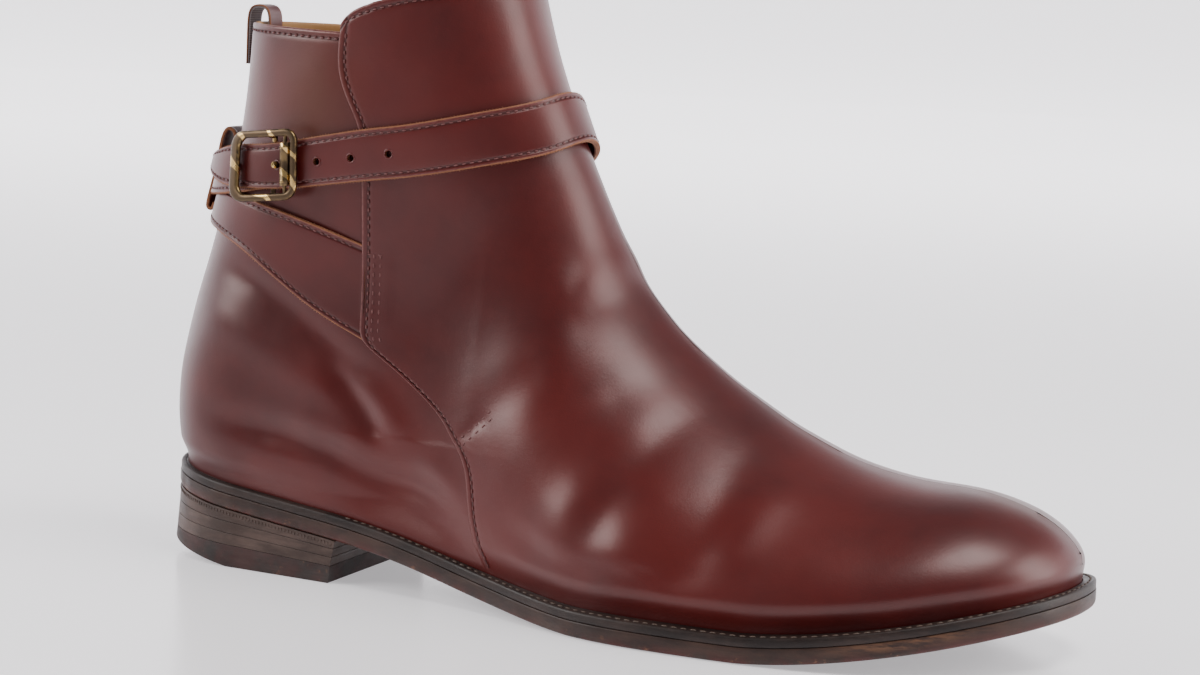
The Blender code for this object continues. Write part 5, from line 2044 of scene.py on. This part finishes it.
@dataclass
class Buckle:
    """Roller buckle: frame with a wide end bar, centre bar, roller and ball-tipped prong."""

    last: Last
    brass: bpy.types.Material
    centre: tuple[float, float] = (10.0, 130.0)
    slope: float = 0.17
    stand_off: float = 7.3
    tilt: float = 0.11
    half_length: tuple[float, float] = (9.8, 10.2)
    half_height: float = 9.9
    corner: tuple[float, float] = (4.0, 3.0)
    bar_offset: float = 2.1
    roller_x: float = 7.4
    roller_radius: float = 1.5
    roller_half: float = 6.6
    bar_radius: float = 0.8
    axle_radius: float = 0.6
    prong_radius: float = 0.7
    prong_u: tuple[float, ...] = (-0.9, 0.2, 1.1, 1.6, 2.3, 3.0, 3.35, 3.45, 3.7, 4.5, 5.2)
    prong_out: tuple[float, ...] = (2.3, 3.1, 2.9, 2.3, 2.1, 2.3, 3.2, 5.0, 6.8, 8.0, 8.35)
    roller_rows: tuple[tuple[float, float], ...] = (
        (-1, 0.75), (-1, 0.96), (-0.985, 1.0), (-0.86, 1.0), (-0.84, 1.05), (-0.74, 1.05),
        (-0.72, 1.0), (0.0, 1.0), (0.72, 1.0), (0.74, 1.05), (0.84, 1.05), (0.86, 1.0),
        (0.985, 1.0), (1, 0.96), (1, 0.75))

    def point(self, u: Array, v: Array, offset: Array) -> Array:
        """Point over the shaft in the buckle's own measures.

        Args:
            u: Places along the buckle.
            v: Places up the buckle.
            offset: Stand-off at each place.

        Returns:
            The points.
        """
        u, v, offset = (np.asarray(a, float) for a in (u, v, offset))
        x, z = self.centre[0] + u, self.centre[1] + self.slope * u + v
        return self.last.shaft_point(self.last.angle_for_x(x, z), z, offset + 0 * x)

    def out(self, u: Array) -> Array:
        """Stand-off of the frame, which tilts away from the shaft towards the tip."""
        return self.stand_off - self.tilt * np.asarray(u, float)

    def framed(self, u: Array, v: Array, offset: Array,
               closed: bool = False) -> tuple[Array, Array, Array]:
        """Path with its section's axes.

        Args:
            u: Places along the buckle.
            v: Places up the buckle.
            offset: Stand-off at each place.
            closed: Whether the path's end meets its start.

        Returns:
            The points, the width's axis and the height's axis.
        """
        path = self.point(u, v, offset)
        ahead = np.roll(path, -1, 0) - np.roll(path, 1, 0) if closed else np.gradient(path, axis=0)
        over = unit(self.point(u, v, offset + 1.0) - path)
        across = unit(np.cross(ahead, over))
        return path, across, unit(np.cross(across, ahead))

    def ring(self) -> tuple[Array, list, Array]:
        """Frame's outer ring, wide and flat at the tip's end.

        Returns:
            Its points, faces and how rubbed each point is.
        """
        left, right = self.half_length
        big, small = self.corner
        tall = self.half_height
        corners = ((right - small, tall - small, small, 0), (big - left, tall - big, big, 90),
                   (big - left, big - tall, big, 180), (right - small, small - tall, small, 270))
        u, v = [], []
        for cu, cv, radius, start in corners:
            turn = np.radians(start + np.linspace(0, 90, 13))
            u.extend(cu + radius * np.cos(turn))
            v.extend(cv + radius * np.sin(turn))
        u, v = np.append(u, u[0]), np.append(v, v[0])
        length = np.concatenate([[0], np.cumsum(np.hypot(np.diff(u), np.diff(v)))])
        at = np.linspace(0, length[-1], 180, endpoint=False)
        u, v = np.interp(at, length, u), np.interp(at, length, v)
        wide = smoothstep(0, big, big - left - u)
        points, faces = tube(*self.framed(u, v, self.out(u), True), 1.15 + 0.9 * wide,
                             0.95 + 0.1 * wide, 20, True, 2.6)
        turn = np.tile(circle(20), len(u))
        return points, faces, 0.9 * np.abs(np.cos(turn)) ** 5 * (np.sin(turn) > -0.2)

    def bars(self) -> list[tuple[Array, list]]:
        """Centre bar under the strap, and the roller's axle.

        Returns:
            Points and faces of both.
        """
        v = np.linspace(-1, 1, 81)
        under = between((self.bar_offset, self.stand_off), smoothstep(0.92, 1.0, np.abs(v)))
        return [tube(*self.framed(u + 0 * v, v * self.half_height, out + 0 * v), size, size, 12)
                for u, out, size in ((0.0, under, self.bar_radius),
                                     (self.roller_x, self.out(self.roller_x), self.axle_radius))]

    def roller(self) -> tuple[Array, list, Array]:
        """Roller sleeve with rolled ends and two bright bands.

        Returns:
            Its points, faces and how rubbed each point is.
        """
        turn = circle(24)
        axle, loops = self.out(self.roller_x), []
        for end, size in self.roller_rows:
            radius = self.roller_radius * size
            loops.append(self.point(self.roller_x + radius * np.cos(turn), end * self.roller_half,
                                    axle + radius * np.sin(turn)))
        bright = [1.0 if size > 1.01 else 0.25 for _, size in self.roller_rows]
        return *skin(loops), np.repeat(bright, len(turn))

    def prong(self) -> tuple[Array, list, Array]:
        """Prong through the strap's hole, with a ball at its tip.

        Returns:
            Its points, faces and how rubbed each point is.
        """
        u, out = even_curve((self.prong_u, self.prong_out), 70)
        left = np.linspace(len(self.prong_u) - 1, 0, 70)
        size = self.prong_radius + 0.42 * np.exp(-((left - 0.35) / 0.35) ** 2)
        size = size * np.sqrt(np.clip(1 - np.clip((0.32 - left) / 0.33, 0, 1) ** 2, 0.02, 1))
        points, faces = tube(*self.framed(u, 0 * u, out), size, size, 14)
        return points, faces, np.full(len(points), 0.8)

    def build(self) -> None:
        """Make the frame, the roller and the prong."""
        points, faces, ridge = self.ring()
        bars = self.bars()
        ridge = np.concatenate([ridge] + [np.full(len(b[0]), 0.2) for b in bars])
        whole = *join([(points, faces), *bars]), ridge
        for name, node, (points, faces, rubbed) in (
                ("buckle_ring", "buckle_frame", whole),
                ("roller_sleeve", "buckle_roller", self.roller()),
                ("prong_pin", "buckle_prong", self.prong())):
            place(mesh_piece(name, points, faces, self.brass, SHARP, {"ridge": rubbed}),
                  "buckle_brass", node)


@dataclass(frozen=True)
class Softbox:
    """Area light that faces the boot."""

    name: str
    spot: tuple[float, float, float]
    size: tuple[float, float]
    power: float
    colour: Colour = (1.0, 0.985, 0.97)


@dataclass
class Studio:
    """Pale table, soft lights and the camera of the photograph."""

    floor_look: bpy.types.Material
    aim: tuple[float, float, float] = (0.11, 0.0, 0.08)
    eye: tuple[float, float, float] = (455.97, -814.81, 200.12)
    yaw: float = 23.04
    pitch: float = 7.61
    roll: float = 2.68
    focal: float = 2856.19
    picture_width: float = 1200.0
    sky: Colour = (0.95, 0.94, 0.97)
    sky_strength: float = 0.30
    floor_level: float = -0.00005
    floor_turns: int = 96
    sweep: tuple[tuple[float, float], ...] = (
        (2.2, -0.00005), (2.9, 0.02), (3.4, 0.12), (3.8, 0.4), (4.0, 0.9), (4.05, 2.0))
    boxes: tuple[Softbox, ...] = (
        Softbox("left box", (-0.90, -0.56, 0.62), (0.70, 0.62), 12.0),
        Softbox("top box", (0.63, -0.12, 1.15), (0.6, 0.45), 9.5),
        Softbox("right box", (1.20, 0.22, 0.45), (0.50, 0.95), 11.0),
    )

    def floor(self) -> None:
        """Pale table top whose far half sweeps up into the backdrop."""
        turn = circle(self.floor_turns)
        away = np.cos(turn - math.radians(90.0 + self.yaw))
        rise = smoothstep(-0.2, 0.35, away)
        rows = [np.stack([r * np.cos(turn), r * np.sin(turn), z * rise], -1) / MM
                for r, z in self.sweep]
        points, faces = skin(rows)
        walls = [f[::-1] for f in faces if len({i // len(turn) for i in f}) == 2]
        points[:len(turn), 2] = self.floor_level / MM
        mesh_piece("table", points, walls + [tuple(range(len(turn)))], self.floor_look)

    def lights(self) -> None:
        """World and softboxes."""
        world = bpy.data.worlds.new("pale room")
        world.use_nodes = True
        sky = world.node_tree.nodes["Background"]
        sky.inputs["Color"].default_value = (*self.sky, 1.0)
        sky.inputs["Strength"].default_value = self.sky_strength
        bpy.context.scene.world = world
        for box in self.boxes:
            light = bpy.data.lights.new(box.name, "AREA")
            light.shape, light.size, light.size_y = "RECTANGLE", *box.size
            light.energy, light.color = box.power, box.colour
            lamp = bpy.data.objects.new(box.name, light)
            bpy.context.scene.collection.objects.link(lamp)
            back = unit(np.array(box.spot) - np.array(self.aim))
            across = unit(np.cross(UP, back))
            lamp.matrix_world = self.matrix(across, np.cross(back, across), back, box.spot)

    @staticmethod
    def matrix(x: Array, y: Array, z: Array, spot: Array) -> Matrix:
        """Object matrix.

        Args:
            x: Its first axis.
            y: Its second axis.
            z: Its third axis.
            spot: Its place.

        Returns:
            The matrix.
        """
        made = np.eye(4)
        made[:3, 0], made[:3, 1], made[:3, 2], made[:3, 3] = x, y, z, spot
        return Matrix(made.tolist())

    def camera(self) -> None:
        """Camera at the photograph's angle, rolled as it was held."""
        yaw, pitch, roll = (math.radians(v) for v in (self.yaw, self.pitch, self.roll))
        ahead = np.array([-math.sin(yaw) * math.cos(pitch), math.cos(yaw) * math.cos(pitch),
                          -math.sin(pitch)])
        level = np.array([math.cos(yaw), math.sin(yaw), 0.0])
        up = np.cross(level, ahead)
        right = math.cos(roll) * level + math.sin(roll) * up
        top = -math.sin(roll) * level + math.cos(roll) * up
        lens = bpy.data.cameras.new("photo camera")
        lens.sensor_width = 36.0
        lens.lens = self.focal / self.picture_width * lens.sensor_width
        lens.clip_start, lens.clip_end = 0.05, 50.0
        made = bpy.data.objects.new("photo camera", lens)
        bpy.context.scene.collection.objects.link(made)
        made.matrix_world = self.matrix(right, top, -ahead, np.array(self.eye) * MM)
        bpy.context.scene.camera = made

    def build(self) -> None:
        """Make the table, the lights and the camera."""
        self.floor()
        self.lights()
        self.camera()


def dress_insole(look: bpy.types.Material) -> None:
    """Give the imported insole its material.

    Args:
        look: The material.
    """
    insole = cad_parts["insole"]
    insole.data.materials.clear()
    insole.data.materials.append(look)


def main() -> None:
    """Build every sub-assembly of the boot and the studio around it."""
    logging.basicConfig(level=logging.INFO, format="%(name)s %(message)s")
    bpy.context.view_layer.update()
    last, repeater = Last(), Repeater()
    upper_leather = PolishedLeather("oxblood calf").build()
    strap_leather = PolishedLeather("oxblood strap leather", roughness=0.36,
                                    raw_edges=True).build()
    thread = Thread("oxblood thread", (0.20, 0.065, 0.06), (0.06, 0.012, 0.012)).build()
    lining = PlainHide("tan lining", (0.42, 0.22, 0.08), (0.28, 0.13, 0.045)).build()
    Upper(last, repeater, upper_leather, lining, thread).build()
    Sole(last, repeater,
         SoleEdge("waxed sole edge").build(),
         SoleEdge("stacked heel", dark=(0.040, 0.023, 0.018), grey=(0.090, 0.056, 0.045),
                  layers=0.4, roughness=0.46).build(),
         # The welt's colours are darker than the sole edge's: partly its own dark ink, partly
         # painted shade where the upper overhangs the welt.
         SoleEdge("welt leather with painted shade", dark=(0.012, 0.007, 0.006), grey=(0.036, 0.021, 0.017)).build(),
         SoleEdge("worn rubber", dark=(0.018, 0.013, 0.012), grey=(0.042, 0.031, 0.028),
                  roughness=0.6).build(),
         Thread("welt thread", (0.13, 0.085, 0.06), (0.04, 0.024, 0.018)).build()).build()
    fibre = Thread("raw leather fibre", (0.42, 0.19, 0.09), (0.24, 0.09, 0.04)).build()
    Straps(last, repeater, strap_leather, thread, fibre).build()
    BackPieces(last, repeater, strap_leather, LoopCloth("grey webbing").build(), thread).build()
    Buckle(last, AntiqueBrass("antique brass").build()).build()
    dress_insole(PlainHide("tan insole", (0.36, 0.18, 0.07), (0.22, 0.10, 0.04),
                           stains=0.5).build())
    Studio(StageFloor().build()).build()


if __name__ == "__main__":
    main()
